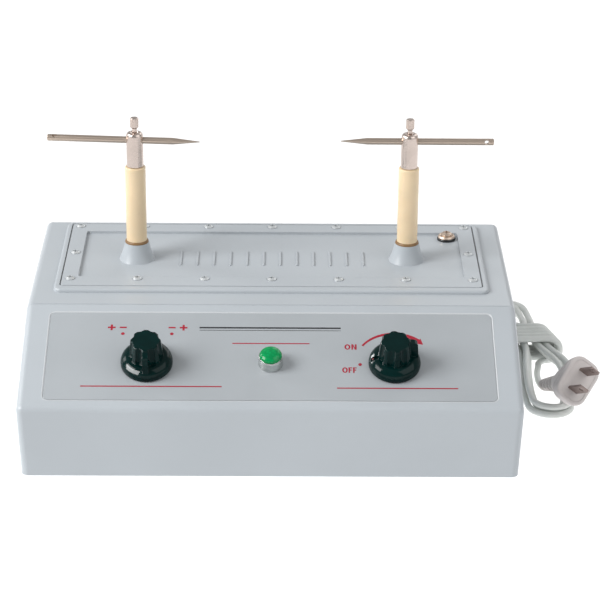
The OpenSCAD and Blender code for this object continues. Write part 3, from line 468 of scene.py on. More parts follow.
@dataclass(frozen=True)
class Laminate(Finish):
    """Circuit board: green lacquer over faint copper tracks."""

    def paint(self, sheet: NodeSheet) -> None:
        """Builds the board.

        Args:
            sheet: sheet that takes the nodes.
        """
        place = sheet.place()
        tracks = sheet.add(
            "ShaderNodeTexBrick",
            {"offset": 0.4},
            {
                "Vector": place, "Scale": 60.0, "Mortar Size": 0.06, "Mortar Smooth": 0.1,
                "Color1": self.colour, "Color2": shaded(self.colour, 0.85),
                "Mortar": tint(96, 150, 84),
            },
            "Color",
        )
        cloud = sheet.noise(place, 90.0)
        sheet.surface(
            Base_Color=sheet.blend(cloud * 0.2, tracks, shaded(self.colour, 0.6)),
            Roughness=self.roughness + (cloud - 0.5) * 0.2,
            Coat_Weight=0.5,
        )


@dataclass(frozen=True)
class Ink(Finish):
    """Screen-printed ink, slightly uneven in cover."""

    def paint(self, sheet: NodeSheet) -> None:
        """Builds the ink.

        Args:
            sheet: sheet that takes the nodes.
        """
        cover = sheet.noise(sheet.place(), 1100.0, 3.0)
        thin = cover.step(0.35, 0.75) * 0.5
        sheet.surface(
            Base_Color=sheet.blend(thin, self.colour, shaded(self.colour, 1.5)),
            Roughness=self.roughness + (cover - 0.5) * 0.2,
            Normal=sheet.bump(cover, 0.01 * MM),
        )


@dataclass(frozen=True)
class Backdrop(Finish):
    """Plain studio paper."""

    def paint(self, sheet: NodeSheet) -> None:
        """Builds the paper.

        Args:
            sheet: sheet that takes the nodes.
        """
        fibre = sheet.noise(sheet.place(), 18.0, 2.0)
        sheet.surface(
            Base_Color=sheet.blend(fibre, self.colour, shaded(self.colour, 0.985)),
            Roughness=self.roughness,
            Specular_IOR_Level=0.1,
        )


# ---------------------------------------------------------------- studio


@dataclass(frozen=True)
class Softbox:
    """A rectangular lamp: where it hangs, its width and height, its power and what it faces."""

    name: str
    place: Triple
    size: Pair
    power: float
    target: Sequence[float] = (0.0, 0.0, 0.05)

    def build(self) -> bpy.types.Object:
        """Hangs the lamp.

        Returns:
            The light's object.
        """
        data = bpy.data.lights.new(self.name, "AREA")
        data.shape = "RECTANGLE"
        data.size, data.size_y = self.size
        data.energy = self.power
        made = linked(self.name, data)
        made.location = self.place
        facing = Vector(self.target) - Vector(self.place)
        made.rotation_euler = facing.to_track_quat("-Z", "Y").to_euler()
        return made


@dataclass
class Studio:
    """Camera at the photograph's angle, soft light from the left and a pale floor."""

    place: Triple = (5.93 * MM, -1253.247 * MM, 628.23 * MM)
    pitch: float = math.radians(24.265)
    yaw: float = math.radians(-0.595)
    roll: float = math.radians(-0.528)
    focal_px: float = 2324.626
    frame_px: float = 607.0
    sensor: float = 36.0
    floor_half: float = 6.0
    floor_corners: Rows = ((-1, -1), (1, -1), (1, 1), (-1, 1))
    room_light: float = 0.36
    front_wall: float = 0.75
    back_wall: float = 1.35
    floor_light: float = 2.8
    softboxes: tuple[Softbox, ...] = (
        Softbox("window_left", (-1.24, -0.5, 0.92), (0.8, 0.9), 26.5),
        Softbox("window_left_back", (-1.32, 0.5, 0.8), (0.35, 0.8), 5.0),
        Softbox("fill_right", (1.1, -0.75, 1.1), (1.5, 1.5), 9.5),
        Softbox("fill_back", (0.8, 1.2, 0.95), (1.3, 0.8), 4.5, (0.05, 0.0, 0.05)),
    )
    mirrors: tuple[tuple[Body, Softbox], ...] = (
        (Body.KNOB_LEFT, Softbox("glint_knob_left", (-1.03, -0.67, 0.45), (1.3, 0.9), 110.0)),
        (Body.KNOB_RIGHT, Softbox("glint_knob_right", (-0.89, 0.55, 0.43), (0.5, 1.1), 55.0)),
    )
    white: Colour = (1.0, 1.0, 1.0, 1.0)

    def camera(self) -> bpy.types.Object:
        """Makes the camera.

        Returns:
            The camera object.
        """
        turn = Matrix.Rotation(self.yaw, 3, "Z")
        right = turn @ Vector((1, 0, 0))
        down = turn @ Vector((0, -math.sin(self.pitch), -math.cos(self.pitch)))
        ahead = turn @ Vector((0, math.cos(self.pitch), -math.sin(self.pitch)))
        level = math.cos(self.roll) * right + math.sin(self.roll) * down
        under = -math.sin(self.roll) * right + math.cos(self.roll) * down
        data = bpy.data.cameras.new("camera")
        data.sensor_width = self.sensor
        data.lens = self.focal_px / self.frame_px * self.sensor
        data.clip_start, data.clip_end = 0.05, 30.0
        made = linked("camera", data)
        axes = Matrix((level, -under, -ahead)).transposed().to_4x4()
        made.matrix_world = Matrix.Translation(Vector(self.place)) @ axes
        bpy.context.scene.camera = made
        return made

    @staticmethod
    def group(name: str, member: bpy.types.Object) -> bpy.types.Collection:
        """Makes a collection of one object, for light linking."""
        made = bpy.data.collections.new(name)
        made.objects.link(member)
        return made

    def mirror(self, body: Body, box: Softbox) -> None:
        """Hangs a window that shows in one glossy knob and lights nothing else.

        Args:
            body: the knob, whose solid has the same name.
            box: the window.
        """
        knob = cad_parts[body.value]
        made = replace(box, target=knob.bound_box[0]).build()
        made.visible_diffuse = False
        made.light_linking.receiver_collection = self.group(f"only_{body.value}", knob)

    def room(self) -> None:
        """Sets the room's own light: darker before the object, plain white to the camera."""
        world = bpy.data.worlds.new("room")
        sheet = NodeSheet(world, "ShaderNodeBackground", "ShaderNodeOutputWorld")
        ahead = sheet.add("ShaderNodeTexCoord", {}, {}, "Generated")
        depth = sheet.add("ShaderNodeSeparateXYZ", {}, {0: ahead}, "Y")
        share = sheet.add("ShaderNodeMapRange", {}, {"Value": depth, "From Min": -1.0})
        front, back = shaded(self.white, self.front_wall), shaded(self.white, self.back_wall)
        walls = sheet.add("ShaderNodeValToRGB", {"stops": ((0.0, front), (1.0, back))}, {0: share})
        sheet.surface(Color=walls, Strength=self.room_light)
        sight = sheet.add("ShaderNodeLightPath", {}, {}, "Is Camera Ray")
        paper = sheet.add("ShaderNodeBackground", {}, {"Color": self.white})
        lit = Wire(sheet, sheet.shader.outputs[0])
        shown = sheet.add("ShaderNodeMixShader", {}, {0: sight, 1: lit, 2: paper})
        sheet.feed(sheet.output, {0: shown})
        scene = bpy.context.scene
        scene.world = world
        scene.view_settings.view_transform = "Standard"

    def light(self) -> None:
        """Hangs the softboxes, and lights the floor by itself so that it stays white."""
        self.room()
        floor = self.floor()
        off_floor, on_floor = self.group("off_floor", floor), self.group("on_floor", floor)
        off_floor.collection_objects[0].light_linking.link_state = "EXCLUDE"
        for box in self.softboxes:
            box.build().light_linking.receiver_collection = off_floor
        for body, box in self.mirrors:
            self.mirror(body, box)
        glow = bpy.data.lights.new("floor_glow", "SUN")
        glow.energy = self.floor_light
        made = linked("floor_glow", glow)
        made.light_linking.receiver_collection = on_floor
        made.light_linking.blocker_collection = on_floor

    def floor(self) -> bpy.types.Object:
        """Lays the pale floor.

        Returns:
            The floor's object.
        """
        half = self.floor_half
        mesh = bpy.data.meshes.new("floor")
        mesh.from_pydata([(half * u, half * v, 0) for u, v in self.floor_corners], [], [range(4)])
        made = linked("floor", mesh)
        Backdrop("paper", (0.93, 0.93, 0.93, 1.0), 0.9).dress(made)
        return made


# ---------------------------------------------------------------- mesh helpers


class Modeller:
    """Makes mesh pieces from rings and outlines and links them to the scene."""

    @staticmethod
    def piece(
        name: str, points: Ring, faces: Sequence[Sequence[int]], smooth_below: float = 40.0
    ) -> bpy.types.Object:
        """Makes one piece.

        Args:
            name: name of the piece.
            points: places of its vertices.
            faces: corner numbers of its faces.
            smooth_below: angle in degrees up to which an edge is shaded smooth.

        Returns:
            The new object.
        """
        mesh = bpy.data.meshes.new(name)
        mesh.from_pydata([tuple(p) for p in points], [], [tuple(f) for f in faces])
        shape = bmesh.new()
        shape.from_mesh(mesh)
        bmesh.ops.recalc_face_normals(shape, faces=shape.faces)
        shape.to_mesh(mesh)
        shape.free()
        mesh.shade_smooth()
        mesh.set_sharp_from_angle(angle=math.radians(smooth_below))
        return linked(name, mesh)

    @staticmethod
    def lofted(
        name: str, rings: Sequence[Ring], smooth_below: float = 40.0, closed: bool = False
    ) -> bpy.types.Object:
        """Joins rings of equal count into a closed skin.

        Args:
            name: name of the piece.
            rings: rings of points, in order.
            smooth_below: angle in degrees up to which an edge is shaded smooth.
            closed: whether the last ring joins the first, in place of two flat ends.

        Returns:
            The new object.
        """
        count, last = len(rings[0]), len(rings) - 1
        pairs = [(a, a + 1) for a in range(last)] + ([(last, 0)] if closed else [])
        faces = [
            (a * count + k, a * count + (k + 1) % count, b * count + (k + 1) % count, b * count + k)
            for a, b in pairs
            for k in range(count)
        ]
        if not closed:
            faces += [tuple(range(count)), tuple(range(last * count, (last + 1) * count))]
        return Modeller.piece(name, [p for ring in rings for p in ring], faces, smooth_below)

    @staticmethod
    def tube(name: str, path: Sequence[Vector], radius: float, sides: int) -> bpy.types.Object:
        """Sweeps a round section along a path without twist.

        Args:
            name: name of the piece.
            path: points of the centreline.
            radius: radius of the section.
            sides: points of a ring.

        Returns:
            The new object.
        """
        rings = []
        across = None
        for i, point in enumerate(path):
            heading = (path[min(i + 1, len(path) - 1)] - path[max(i - 1, 0)]).normalized()
            if across is None:
                across = Vector((0, 0, 1)).cross(heading).normalized()
            across = (across - across.dot(heading) * heading).normalized()
            other = heading.cross(across)
            turns = [2 * math.pi * k / sides for k in range(sides)]
            rim = [math.cos(a) * across + math.sin(a) * other for a in turns]
            rings.append([point + radius * spoke for spoke in rim])
        return Modeller.lofted(name, rings, 60.0)

    @staticmethod
    def rounded(half_w: float, half_h: float, radius: float, steps: int) -> list[Pair]:
        """Gives the outline of a rounded rectangle.

        Args:
            half_w: half its width.
            half_h: half its height.
            radius: radius of its corners.
            steps: pieces that each corner is cut into.

        Returns:
            The points, anticlockwise from the right.
        """
        points = []
        for u, v, start in ((1, 1, 0), (-1, 1, 90), (-1, -1, 180), (1, -1, 270)):
            x, y = u * (half_w - radius), v * (half_h - radius)
            for k in range(steps + 1):
                a = math.radians(start + 90 * k / steps)
                points.append((x + radius * math.cos(a), y + radius * math.sin(a)))
        return points

    @staticmethod
    def fit(made: bpy.types.Object, finish: str, body: Body) -> None:
        """Gives a piece its finish and the body that it rides on, and logs it.

        Args:
            made: the piece.
            finish: name of the finish.
            body: the body.
        """
        FINISHES[finish].dress(made)
        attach(made, body.value)
        log.info("%s: %d faces", made.name, len(made.data.polygons))

    @staticmethod
    def smooth_path(points: Sequence[Vector], steps: int) -> list[Vector]:
        """Runs a smooth curve through points.

        Args:
            points: points that the curve passes.
            steps: pieces that each stretch is cut into.

        Returns:
            The points of the curve.
        """
        curve: list[Vector] = []
        for i in range(len(points) - 1):
            before = points[max(i - 1, 0)]
            start, end = points[i], points[i + 1]
            after = points[min(i + 2, len(points) - 1)]
            span = (end - start).length
            lead = (end - before).normalized() * span if i else (end - start)
            leave = (after - start).normalized() * span
            for k in range(steps):
                t = k / steps
                curve.append(
                    (2 * t**3 - 3 * t**2 + 1) * start + (t**3 - 2 * t**2 + t) * lead
                    + (3 * t**2 - 2 * t**3) * end + (t**3 - t**2) * leave
                )
        return curve + [points[-1]]


# ---------------------------------------------------------------- mains lead


@dataclass
class MainsLead:
    """The mains cord: free stretch behind the case, tied hank beside it and entry into the plug.

    The sizes and stations are the same as in the part's source, in millimetres.
    """

    diameter: float = 4.0
    turn_pitch: float = 4.8
    layer_pitch: float = 4.65
    wrap_pitch: float = 4.75
    hank_at: Pair = (160.4, 61.0)
    hank_turn: float = 5.5
    loops: int = 3
    loop_rings: int = 24
    fold_rings: int = 6
    stations: Rows = (
        (55, -16.6, 9.4, 0), (34, -11.8, 9.2, 1.8), (12, -8, 8, 4.6), (-12, -8, 12.6, 4.6),
        (-30, -11, 20.2, 2.8), (-50, -13.6, 20, 0.4), (-72, -14.6, 14.6, 0),
    )
    climb_from: float = 1.47
    climb_to: float = 1.63
    wrap_r: float = 6.9
    wrap_start: float = 11.0
    flat_rings: int = 2
    bend_rings: int = 6
    wrap_last: int = 72
    wrap_left: float = -8.0
    wrap_right: float = 7.2
    wrap_spread: float = 0.2
    quarter_r: float = 8.5
    climb: Rows = ((-14.5, 45, 8), (-12.2, 35, 11.5), (-10.2, 26.5, 14.8))
    tail: Rows = ((0.2, -29, 2), (-0.8, -38, 2), (-0.9, -43.5, 2.3))
    exit: Triple = (100.0, 124.0, 14.0)
    free: Rows = (
        (100, 128, 14), (100, 133, 13.4), (100, 138, 11.6), (100, 143, 8.6),
        (100, 148, 5.2), (100.2, 153, 2.9), (101, 158, 2), (102.8, 163.6, 2), (106, 168.4, 2),
        (110.2, 172, 2), (115.4, 174, 2), (120.6, 174, 2), (125.8, 172, 2), (130, 168.6, 2),
        (133.2, 163.8, 2), (134.9, 158, 2), (135.4, 151, 2), (135.7, 143, 2), (136.5, 134.6, 2),
    )
    length: float = 1.55
    sides: int = 14
    steps: int = 4

    def in_frame(self, point: Sequence[float]) -> Vector:
        """Turns a point of the hank's own frame into the part's.

        Args:
            point: place in the hank's frame.

        Returns:
            The place in the part's frame.
        """
        turn = math.radians(self.hank_turn)
        return Vector((
            self.hank_at[0] + point[0] * math.cos(turn) - point[1] * math.sin(turn),
            self.hank_at[1] + point[0] * math.sin(turn) + point[1] * math.cos(turn),
            point[2],
        ))

    def fold(self, station: tuple[float, ...], angle: float, inset: float, height: float) -> Vector:
        """Gives a point of the arc that joins two runs.

        Args:
            station: the runs' last station.
            angle: place on the arc in degrees.
            inset: how far the turn lies inside the outermost one.
            height: height of the turn.

        Returns:
            The point in the hank's frame.
        """
        y, left, right, _ = station
        radius = (right - left) / 2 - inset
        a = math.radians(angle)
        return Vector(((left + right) / 2 + radius * math.cos(a), y + radius * math.sin(a), height))

    def loop_point(self, index: int) -> Vector:
        """Gives one ring of the loops.

        Args:
            index: number of the ring from the first.

        Returns:
            The point in the hank's frame.
        """
        runs = len(self.stations) - 1
        place = index % self.loop_rings
        turn = index / self.loop_rings
        inset = self.turn_pitch * min(turn, self.loops - turn)
        share = min(max((turn - self.climb_from) / (self.climb_to - self.climb_from), 0.0), 1.0)
        height = self.diameter / 2 + self.layer_pitch * share * share * (3 - 2 * share)
        if place < runs:
            y, left, _, lift = self.stations[place]
            return Vector((left + inset, y, height + lift))
        if place < runs + self.fold_rings:
            angle = 180 + (place - runs) * 180 / self.fold_rings
            return self.fold(self.stations[-1], angle, inset, height)
        back = place - 2 * runs - self.fold_rings
        if back < 0:
            y, _, right, lift = self.stations[-back]
            return Vector((right - inset, y, height + lift))
        return self.fold(self.stations[0], back * 180 / self.fold_rings, inset, height)

    def wrap_point(self, index: int) -> Vector:
        """Gives one ring of the wraps round the waist.

        Args:
            index: number of the ring from the first.

        Returns:
            The point in the hank's frame.
        """
        side = self.flat_rings + self.bend_rings
        half_turns, place = divmod(index, side)
        low = half_turns % 2
        y = self.wrap_start - (index - 1) * self.wrap_pitch / (2 * side)
        right = self.wrap_right + self.wrap_spread * (self.wrap_start - y)
        start, end = (right, self.wrap_left) if low else (self.wrap_left, right)
        a = math.radians(90 + 180 * low)
        if place < self.flat_rings:
            x = start + (end - start) * place / self.flat_rings
        else:
            a -= math.pi * (place - self.flat_rings) / self.bend_rings
            x = end + self.wrap_r * math.cos(a)
        return Vector((x, y, self.diameter / 2 + self.wrap_r * (1 + math.sin(a))))

    def quarter(self, centre: Vector, angles: Iterable[float]) -> list[Vector]:
        """Gives the points of a flat quarter turn round a centre, at angles in degrees."""
        turns = [math.radians(a) for a in angles]
        return [centre + self.quarter_r * Vector((math.cos(a), math.sin(a), 0)) for a in turns]

    def route(self, plug: "MainsPlug") -> list[Vector]:
        """Lays the whole centreline, from inside the gland to inside the plug.

        Args:
            plug: the plug that the cord ends in.

        Returns:
            The points of the route in millimetres.
        """
        low = self.diameter / 2
        left, y = self.stations[0][1], self.stations[0][0]
        top = low + 2 * self.wrap_r
        last = self.wrap_point(self.wrap_last)
        hank = [Vector((left, y + 3 * self.diameter, low)), Vector((left, y + self.diameter, low))]
        hank += [self.loop_point(i) for i in range(self.loops * self.loop_rings + 1)]
        hank += [Vector(p) for p in self.climb]
        centre = Vector((0, self.wrap_start + self.quarter_r, top))
        hank += self.quarter(centre, [180, 202.5, 225, 247.5, 270])
        hank += [self.wrap_point(i) for i in range(self.flat_rings, self.wrap_last + 1)]
        centre = Vector((last.x, last.y - self.quarter_r, low))
        hank += self.quarter(centre, [112.5, 135, 157.5, 180])
        hank += [Vector(p) for p in self.tail]
        entry = plug.point(-plug.length, 0, 0) / MM
        axis = plug.axis()
        start = Vector(self.exit)
        return (
            [start - Vector((0, 6, 0)), start]
            + [Vector(p) for p in self.free]
            + [self.in_frame(p) for p in hank]
            + [entry - self.diameter * axis, entry, entry + 3 * axis]
        )

    def build(self, plug: "MainsPlug", with_pieces: Sequence[bpy.types.Object]) -> bpy.types.Object:
        """Args:
            plug: the plug that the cord ends in.
            with_pieces: not used.

        Returns:
            The cord's object.
        """
        path = Modeller.smooth_path([p * MM for p in self.route(plug)], self.steps)
        for point in path:
            point.z = max(point.z, self.diameter / 2 * MM)
        cord = Modeller.tube("mains_lead", path, self.diameter / 2 * MM, self.sides)
        Modeller.fit(cord, "cord_grey", Body.HOUSING)
        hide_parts("mains_cord", "cord_hank")
        log.info("%d rings, %.3f m", len(path), sum((b - a).length for a, b in zip(path, path[1:])))
        return cord


@dataclass
class MainsPlug:
    """The moulded flat plug that leans on the hank, with a ribbed relief and two blades.

    Its own frame has X along its axis towards the blades, Y across its thin side and Z across
    its wide side, from the middle of its face. Sizes are in millimetres.
    """

    face: Triple = (180.0, -32.7, 29.2)
    roll: float = -43.3
    rise: float = 27.7
    turn: float = -70.7
    length: float = 51.0
    relief: Pair = (3.6, 5.6)
    relief_end: float = -24.5
    ribs: int = 4
    rib_from: float = 5.0
    rib_pitch: float = 5.0
    groove: float = 1.6
    groove_r: float = 2.9
    groove_growth: float = 0.35
    groove_rims: Pair = (0.25, 0.2)
    groove_slant: float = 0.15
    mould: Rows = (
        (-25.6, 5.5, 5.6, 5.5), (-24.9, 6.0, 6.3, 6.0), (-22, 6.95, 7.9, 6.5),
        (-18.5, 7.75, 9.4, 6.8), (-15, 8.3, 10.55, 7), (-11, 9.05, 12.3, 7),
        (-8.2, 9.5, 13.5, 7), (-7.5, 9.62, 13.8, 7), (-7.2, 9.3, 13.45, 6.8),
        (-6.7, 9.3, 13.45, 6.8), (-6.4, 9.74, 13.92, 7), (-4, 9.9, 14.1, 7),
        (-2, 10, 14.2, 7), (-1.2, 9.93, 14.13, 6.95), (-0.45, 9.65, 13.85, 6.7),
        (-0.12, 9.25, 13.45, 6.3), (0, 8.7, 12.9, 5.8), (0, 7.9, 12.1, 5.2), (-0.35, 7.7, 11.9, 5),
    )
    arc_points: int = 8

    def matrix(self) -> Matrix:
        """Returns the turn and place of the plug's frame, in metres."""
        turn = (
            Matrix.Rotation(math.radians(self.turn), 4, "Z")
            @ Matrix.Rotation(math.radians(-self.rise), 4, "Y")
            @ Matrix.Rotation(math.radians(self.roll), 4, "X")
        )
        return Matrix.Translation(Vector(self.face) * MM) @ turn

    def point(self, x: float, y: float, z: float) -> Vector:
        """Returns a point of the plug's frame as a place in metres."""
        return self.matrix() @ (Vector((x, y, z)) * MM)

    def axis(self) -> Vector:
        """Returns the direction from the cord to the blades."""
        return (self.matrix().to_3x3() @ Vector((1, 0, 0))).normalized()

    def ring(self, x: float, thin: float, wide: float, corner: float) -> list[Vector]:
        """Gives a rounded section in metres, from its place, half sizes and corner."""
        outline = Modeller.rounded(thin, wide, min(corner, thin, wide), self.arc_points)
        return [self.point(x, y, z) for y, z in outline]

    def sections(self) -> list[tuple[float, ...]]:
        """Lists the sections from the cord's end to the face.

        Returns:
            Place, half thickness, half width and corner radius of each section.
        """
        low, high = self.relief
        slope = (high - low) / (self.length + self.relief_end)

        def outer(x: float) -> float:
            """Returns the relief's radius at x."""
            return low + (x + self.length) * slope

        rows = [(-self.length, 2.3), (-self.length, low - 0.5), (-self.length + 0.4, low)]
        first, second = self.groove_rims
        for i in range(self.ribs):
            start = -self.length + self.rib_from + self.rib_pitch * i
            end = start + self.groove
            inner = self.groove_r + self.groove_growth * i
            rows += [
                (start - first, outer(start)), (start, outer(start) - first),
                (start + self.groove_slant, inner), (end - self.groove_slant, inner),
                (end, outer(start) - second), (end + first, outer(end)),
            ]
        return [(x, r, r, r) for x, r in rows] + list(self.mould)

    def build(self) -> bpy.types.Object:
        """Lofts the moulded body.

        Returns:
            The body's object.
        """
        body = Modeller.lofted("plug_moulding", [self.ring(*row) for row in self.sections()], 50.0)
        Modeller.fit(body, "plug_grey", Body.HOUSING)
        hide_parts("plug_body")
        return body


# ---------------------------------------------------------------- panel print


@dataclass
class Panel:
    """The sloping control panel and the frame that its print and knobs are placed in."""

    front: float = -100.0
    low: float = 43.5
    slope: float = math.atan2(30.0, 75.0)
    surface: float = -0.2
    knob_x: float = 70.1
    knob_s: float = 34.6
    plate: tuple[float, ...] = (127.0, 7.0, 74.0, 3.0)
    edge: Rows = (
        (0.1, -0.7), (0.1, -0.35), (0.75, 0.07), (0.95, 0.07), (1.05, -0.1), (0.5, -0.7),
    )

    def point(self, x: float, s: float, out: float) -> Vector:
        """Gives the place in metres of x across, s up and out over the slope, in millimetres."""
        c, n = math.cos(self.slope), math.sin(self.slope)
        return Vector((x, self.front + s * c - out * n, self.low + s * n + out * c)) * MM


@dataclass
class Print:
    """A set of flat printed marks, built as outlines that stand a hair over the panel."""

    panel: Panel
    name: str
    top: float = 0.05
    sunk: float = 0.08
    points: list[Vector] = field(default_factory=list)
    faces: list[tuple[int, ...]] = field(default_factory=list)

    def outline(self, corners: Sequence[Pair]) -> None:
        """Adds a filled outline.

        Args:
            corners: corners in order, across and up the panel.
        """
        start, count = len(self.points), len(corners)
        for level in (self.top, -self.sunk):
            self.points += [self.panel.point(x, s, self.panel.surface + level) for x, s in corners]
        self.faces.append(tuple(range(start, start + count)))
        for k in range(count):
            after = (k + 1) % count
            self.faces.append((start + k, start + count + k, start + count + after, start + after))

    def band(self, inner: Sequence[Pair], outer: Sequence[Pair]) -> None:
        """Adds a strip between two lines of as many points, closed where their ends meet."""
        for k in range(len(inner) - 1):
            self.outline([inner[k], inner[k + 1], outer[k + 1], outer[k]])

    def ellipse(
        self, x: float, s: float, half_w: float, half_h: float, count: int = 32
    ) -> list[Pair]:
        """Gives the points of an ellipse round x, s, with the first again at the end."""
        turns = [2 * math.pi * k / count for k in range(count + 1)]
        return [(x + half_w * math.cos(a), s + half_h * math.sin(a)) for a in turns]

    def dot(self, x: float, s: float, radius: float) -> None:
        """Adds a round dot at x, s of the given radius."""
        self.outline(self.ellipse(x, s, radius, radius, 24)[:-1])

    def bar(self, x: float, s: float, width: float, height: float) -> None:
        """Adds a bar centred at x, s of the given width and height."""
        w, h = width / 2, height / 2
        self.outline([(x - w, s - h), (x + w, s - h), (x + w, s + h), (x - w, s + h)])

    def cross(self, x: float, s: float, size: float, stroke: float) -> None:
        """Adds a plus sign centred at x, s of the given size and stroke."""
        a, b = size / 2, stroke / 2
        self.outline([(x + u, s + v) for u, v in (
            (-a, -b), (-b, -b), (-b, -a), (b, -a), (b, -b), (a, -b),
            (a, b), (b, b), (b, a), (-b, a), (-b, b), (-a, b),
        )])

    def letters(
        self, text: str, x: float, s: float, height: float, width: float, stroke: float, gap: float
    ) -> None:
        """Prints a word made of the letters O, N and F.

        Args:
            text: the word.
            x: middle of the word across.
            s: middle of the word up the slope.
            height: height of a letter.
            width: width that the letters' own widths follow.
            stroke: width of its strokes.
            gap: space between letters.
        """
        widths = [width * {"O": 1.2, "N": 1.05, "F": 0.8}[letter] for letter in text]
        x0 = x - (sum(widths) + (len(text) - 1) * gap) / 2
        low, h, t = s - height / 2, height, stroke
        for letter, w in zip(text, widths):
            if letter == "O":
                middle = (x0 + w / 2, s)
                inner = self.ellipse(*middle, w / 2 - t, h / 2 - t * 0.85)
                self.band(inner, self.ellipse(*middle, w / 2, h / 2))
            elif letter == "N":
                self.outline([(x0 + a, low + b) for a, b in (
                    (0, 0), (t, 0), (t, h - 1.5 * t), (w - t, 0), (w, 0),
                    (w, h), (w - t, h), (w - t, 1.5 * t), (t, h), (0, h),
                )])
            elif letter == "F":
                mid, arm, thin = h * 0.42, w * 0.86, t * 0.85
                self.outline([(x0 + a, low + b) for a, b in (
                    (0, 0), (t, 0), (t, mid), (arm, mid), (arm, mid + thin),
                    (t, mid + thin), (t, h - thin), (w, h - thin), (w, h), (0, h),
                )])
            x0 += w + gap

    def build(self, ink: str) -> None:
        """Makes the print's piece in the ink of that name."""
        Modeller.fit(Modeller.piece(self.name, self.points, self.faces, 20.0), ink, Body.HOUSING)


@dataclass
class Legend:
    """Everything printed on the control panel: polarity signs, on and off, level arrow and rules.

    Places are across and up the panel. A word is followed by its place, height, width, stroke
    and gap, and a rule by its width and height.
    """

    panel: Panel
    dot_r: float = 1.05
    sign_s: float = 62.5
    plus_x: Pair = (-91.4, -50.2)
    plus: Pair = (4.4, 1.2)
    minus_x: Pair = (-84.8, -56.8)
    minus: Pair = (4.0, 1.1)
    dots: Rows = ((-84.8, 57.6), (-56.8, 57.6), (50.6, 34.5))
    words: tuple[tuple[str, float, float, float, float, float, float], ...] = (
        ("ON", 45.4, 48.0, 4.1, 2.8, 0.9, 0.6),
        ("OFF", 44.5, 30.2, 4.1, 2.6, 0.85, 0.45),
    )
    red_rules: Rows = (
        (-67.0, 17.2, 79.2, 0.8), (71.3, 16.5, 68.0, 0.8), (0.0, 50.4, 44.0, 0.7),
    )
    dark_rules: Rows = (
        (-0.5, 62.6, 81.0, 1.1), (-0.5, 60.6, 81.0, 0.35),
    )
    arrow_from: Pair = (52.2, 48.9)
    arrow_over: Pair = (68.0, 58.2)
    arrow_to: Pair = (84.0, 53.0)
    arrow_steps: int = 40
    arrow_thin: float = 0.6
    arrow_swell: float = 0.75
    arrow_bend: float = 1.2
    head: Triple = (2.6, 4.2, 2.4)

    def circle(self) -> Triple:
        """Finds the circle through the arrow's three points.

        Returns:
            Centre across, centre up the slope and radius.
        """
        (ax, ay), (bx, by), (cx, cy) = self.arrow_from, self.arrow_over, self.arrow_to
        d = 2 * (ax * (by - cy) + bx * (cy - ay) + cx * (ay - by))
        a2, b2, c2 = ax * ax + ay * ay, bx * bx + by * by, cx * cx + cy * cy
        x = (a2 * (by - cy) + b2 * (cy - ay) + c2 * (ay - by)) / d
        y = (a2 * (cx - bx) + b2 * (ax - cx) + c2 * (bx - ax)) / d
        return x, y, math.hypot(ax - x, ay - y)

    def arrow(self, marks: Print) -> None:
        """Prints the arrow that swells towards its tip.

        Args:
            marks: print that takes the arrow.
        """
        x, s, r = self.circle()
        start = math.atan2(self.arrow_from[1] - s, self.arrow_from[0] - x)
        end = math.atan2(self.arrow_to[1] - s, self.arrow_to[0] - x)
        inner, outer = [], []
        for k in range(self.arrow_steps + 1):
            share = k / self.arrow_steps
            a = start + (end - start) * share
            half = self.arrow_thin + self.arrow_swell * share**self.arrow_bend
            inner.append((x + (r - half) * math.cos(a), s + (r - half) * math.sin(a)))
            outer.append((x + (r + half) * math.cos(a), s + (r + half) * math.sin(a)))
        marks.band(inner, outer)
        inside, ahead, outside = self.head
        barbs = ((r - inside, end), (r, end - ahead / r), (r + outside, end))
        marks.outline([(x + far * math.cos(a), s + far * math.sin(a)) for far, a in barbs])

    def build(self) -> None:
        """Prints the red and the black marks."""
        red, dark = Print(self.panel, "print_red"), Print(self.panel, "print_dark")
        for x in self.plus_x:
            red.cross(x, self.sign_s, *self.plus)
        for x in self.minus_x:
            red.bar(x, self.sign_s, *self.minus)
        for x, s in self.dots:
            red.dot(x, s, self.dot_r)
        for word in self.words:
            red.letters(*word)
        self.arrow(red)
        for marks, rules in ((red, self.red_rules), (dark, self.dark_rules)):
            for rule in rules:
                marks.bar(*rule)
        red.build("ink_red")
        dark.build("ink_dark")


@dataclass
class Edging:
    """A thin closed strip that follows a rounded rectangle in the gap round a plate."""

    name: str
    finish: str
    place: Callable[[float, float, float], Vector]
    half_width: float
    low: float
    high: float
    corner: float
    section: Rows
    arc_points: int = 8

    def loop(self, out: float, height: float) -> list[Vector]:
        """Gives a rounded rectangle round the plate.

        Args:
            out: distance outside the plate's edge in millimetres.
            height: height over the plate's plane in millimetres.

        Returns:
            The points in metres.
        """
        middle, half_height = (self.low + self.high) / 2, (self.high - self.low) / 2
        sizes = [size + out for size in (self.half_width, half_height, self.corner)]
        outline = Modeller.rounded(*sizes, self.arc_points)
        return [self.place(x, middle + s, height) for x, s in outline]

    def build(self) -> None:
        """Sweeps the section round the plate."""
        rings = [self.loop(out, height) for out, height in self.section]
        Modeller.fit(Modeller.lofted(self.name, rings, 30.0, True), self.finish, Body.HOUSING)


@dataclass
class Cover:
    """The flat top cover, whose gap to the case is filled by a grey strip that paints the gap's
    soft shade line.
    """

    top: float = 75.5
    plate: tuple[float, ...] = (124.0, -2.5, 92.3, 1.5)
    # Section of the grey strip in the gap, which stands in for the shade there as painted shade.
    seal: Rows = (
        (0.05, -1.3), (0.05, -0.8), (0.25, -0.62), (0.55, -0.62), (0.75, -0.8), (0.75, -1.3),
    )

    def point(self, x: float, y: float, height: float) -> Vector:
        """Returns a place over the cover, in metres."""
        return Vector((x, y, self.top + height)) * MM


# ---------------------------------------------------------------- finishes of the nodes

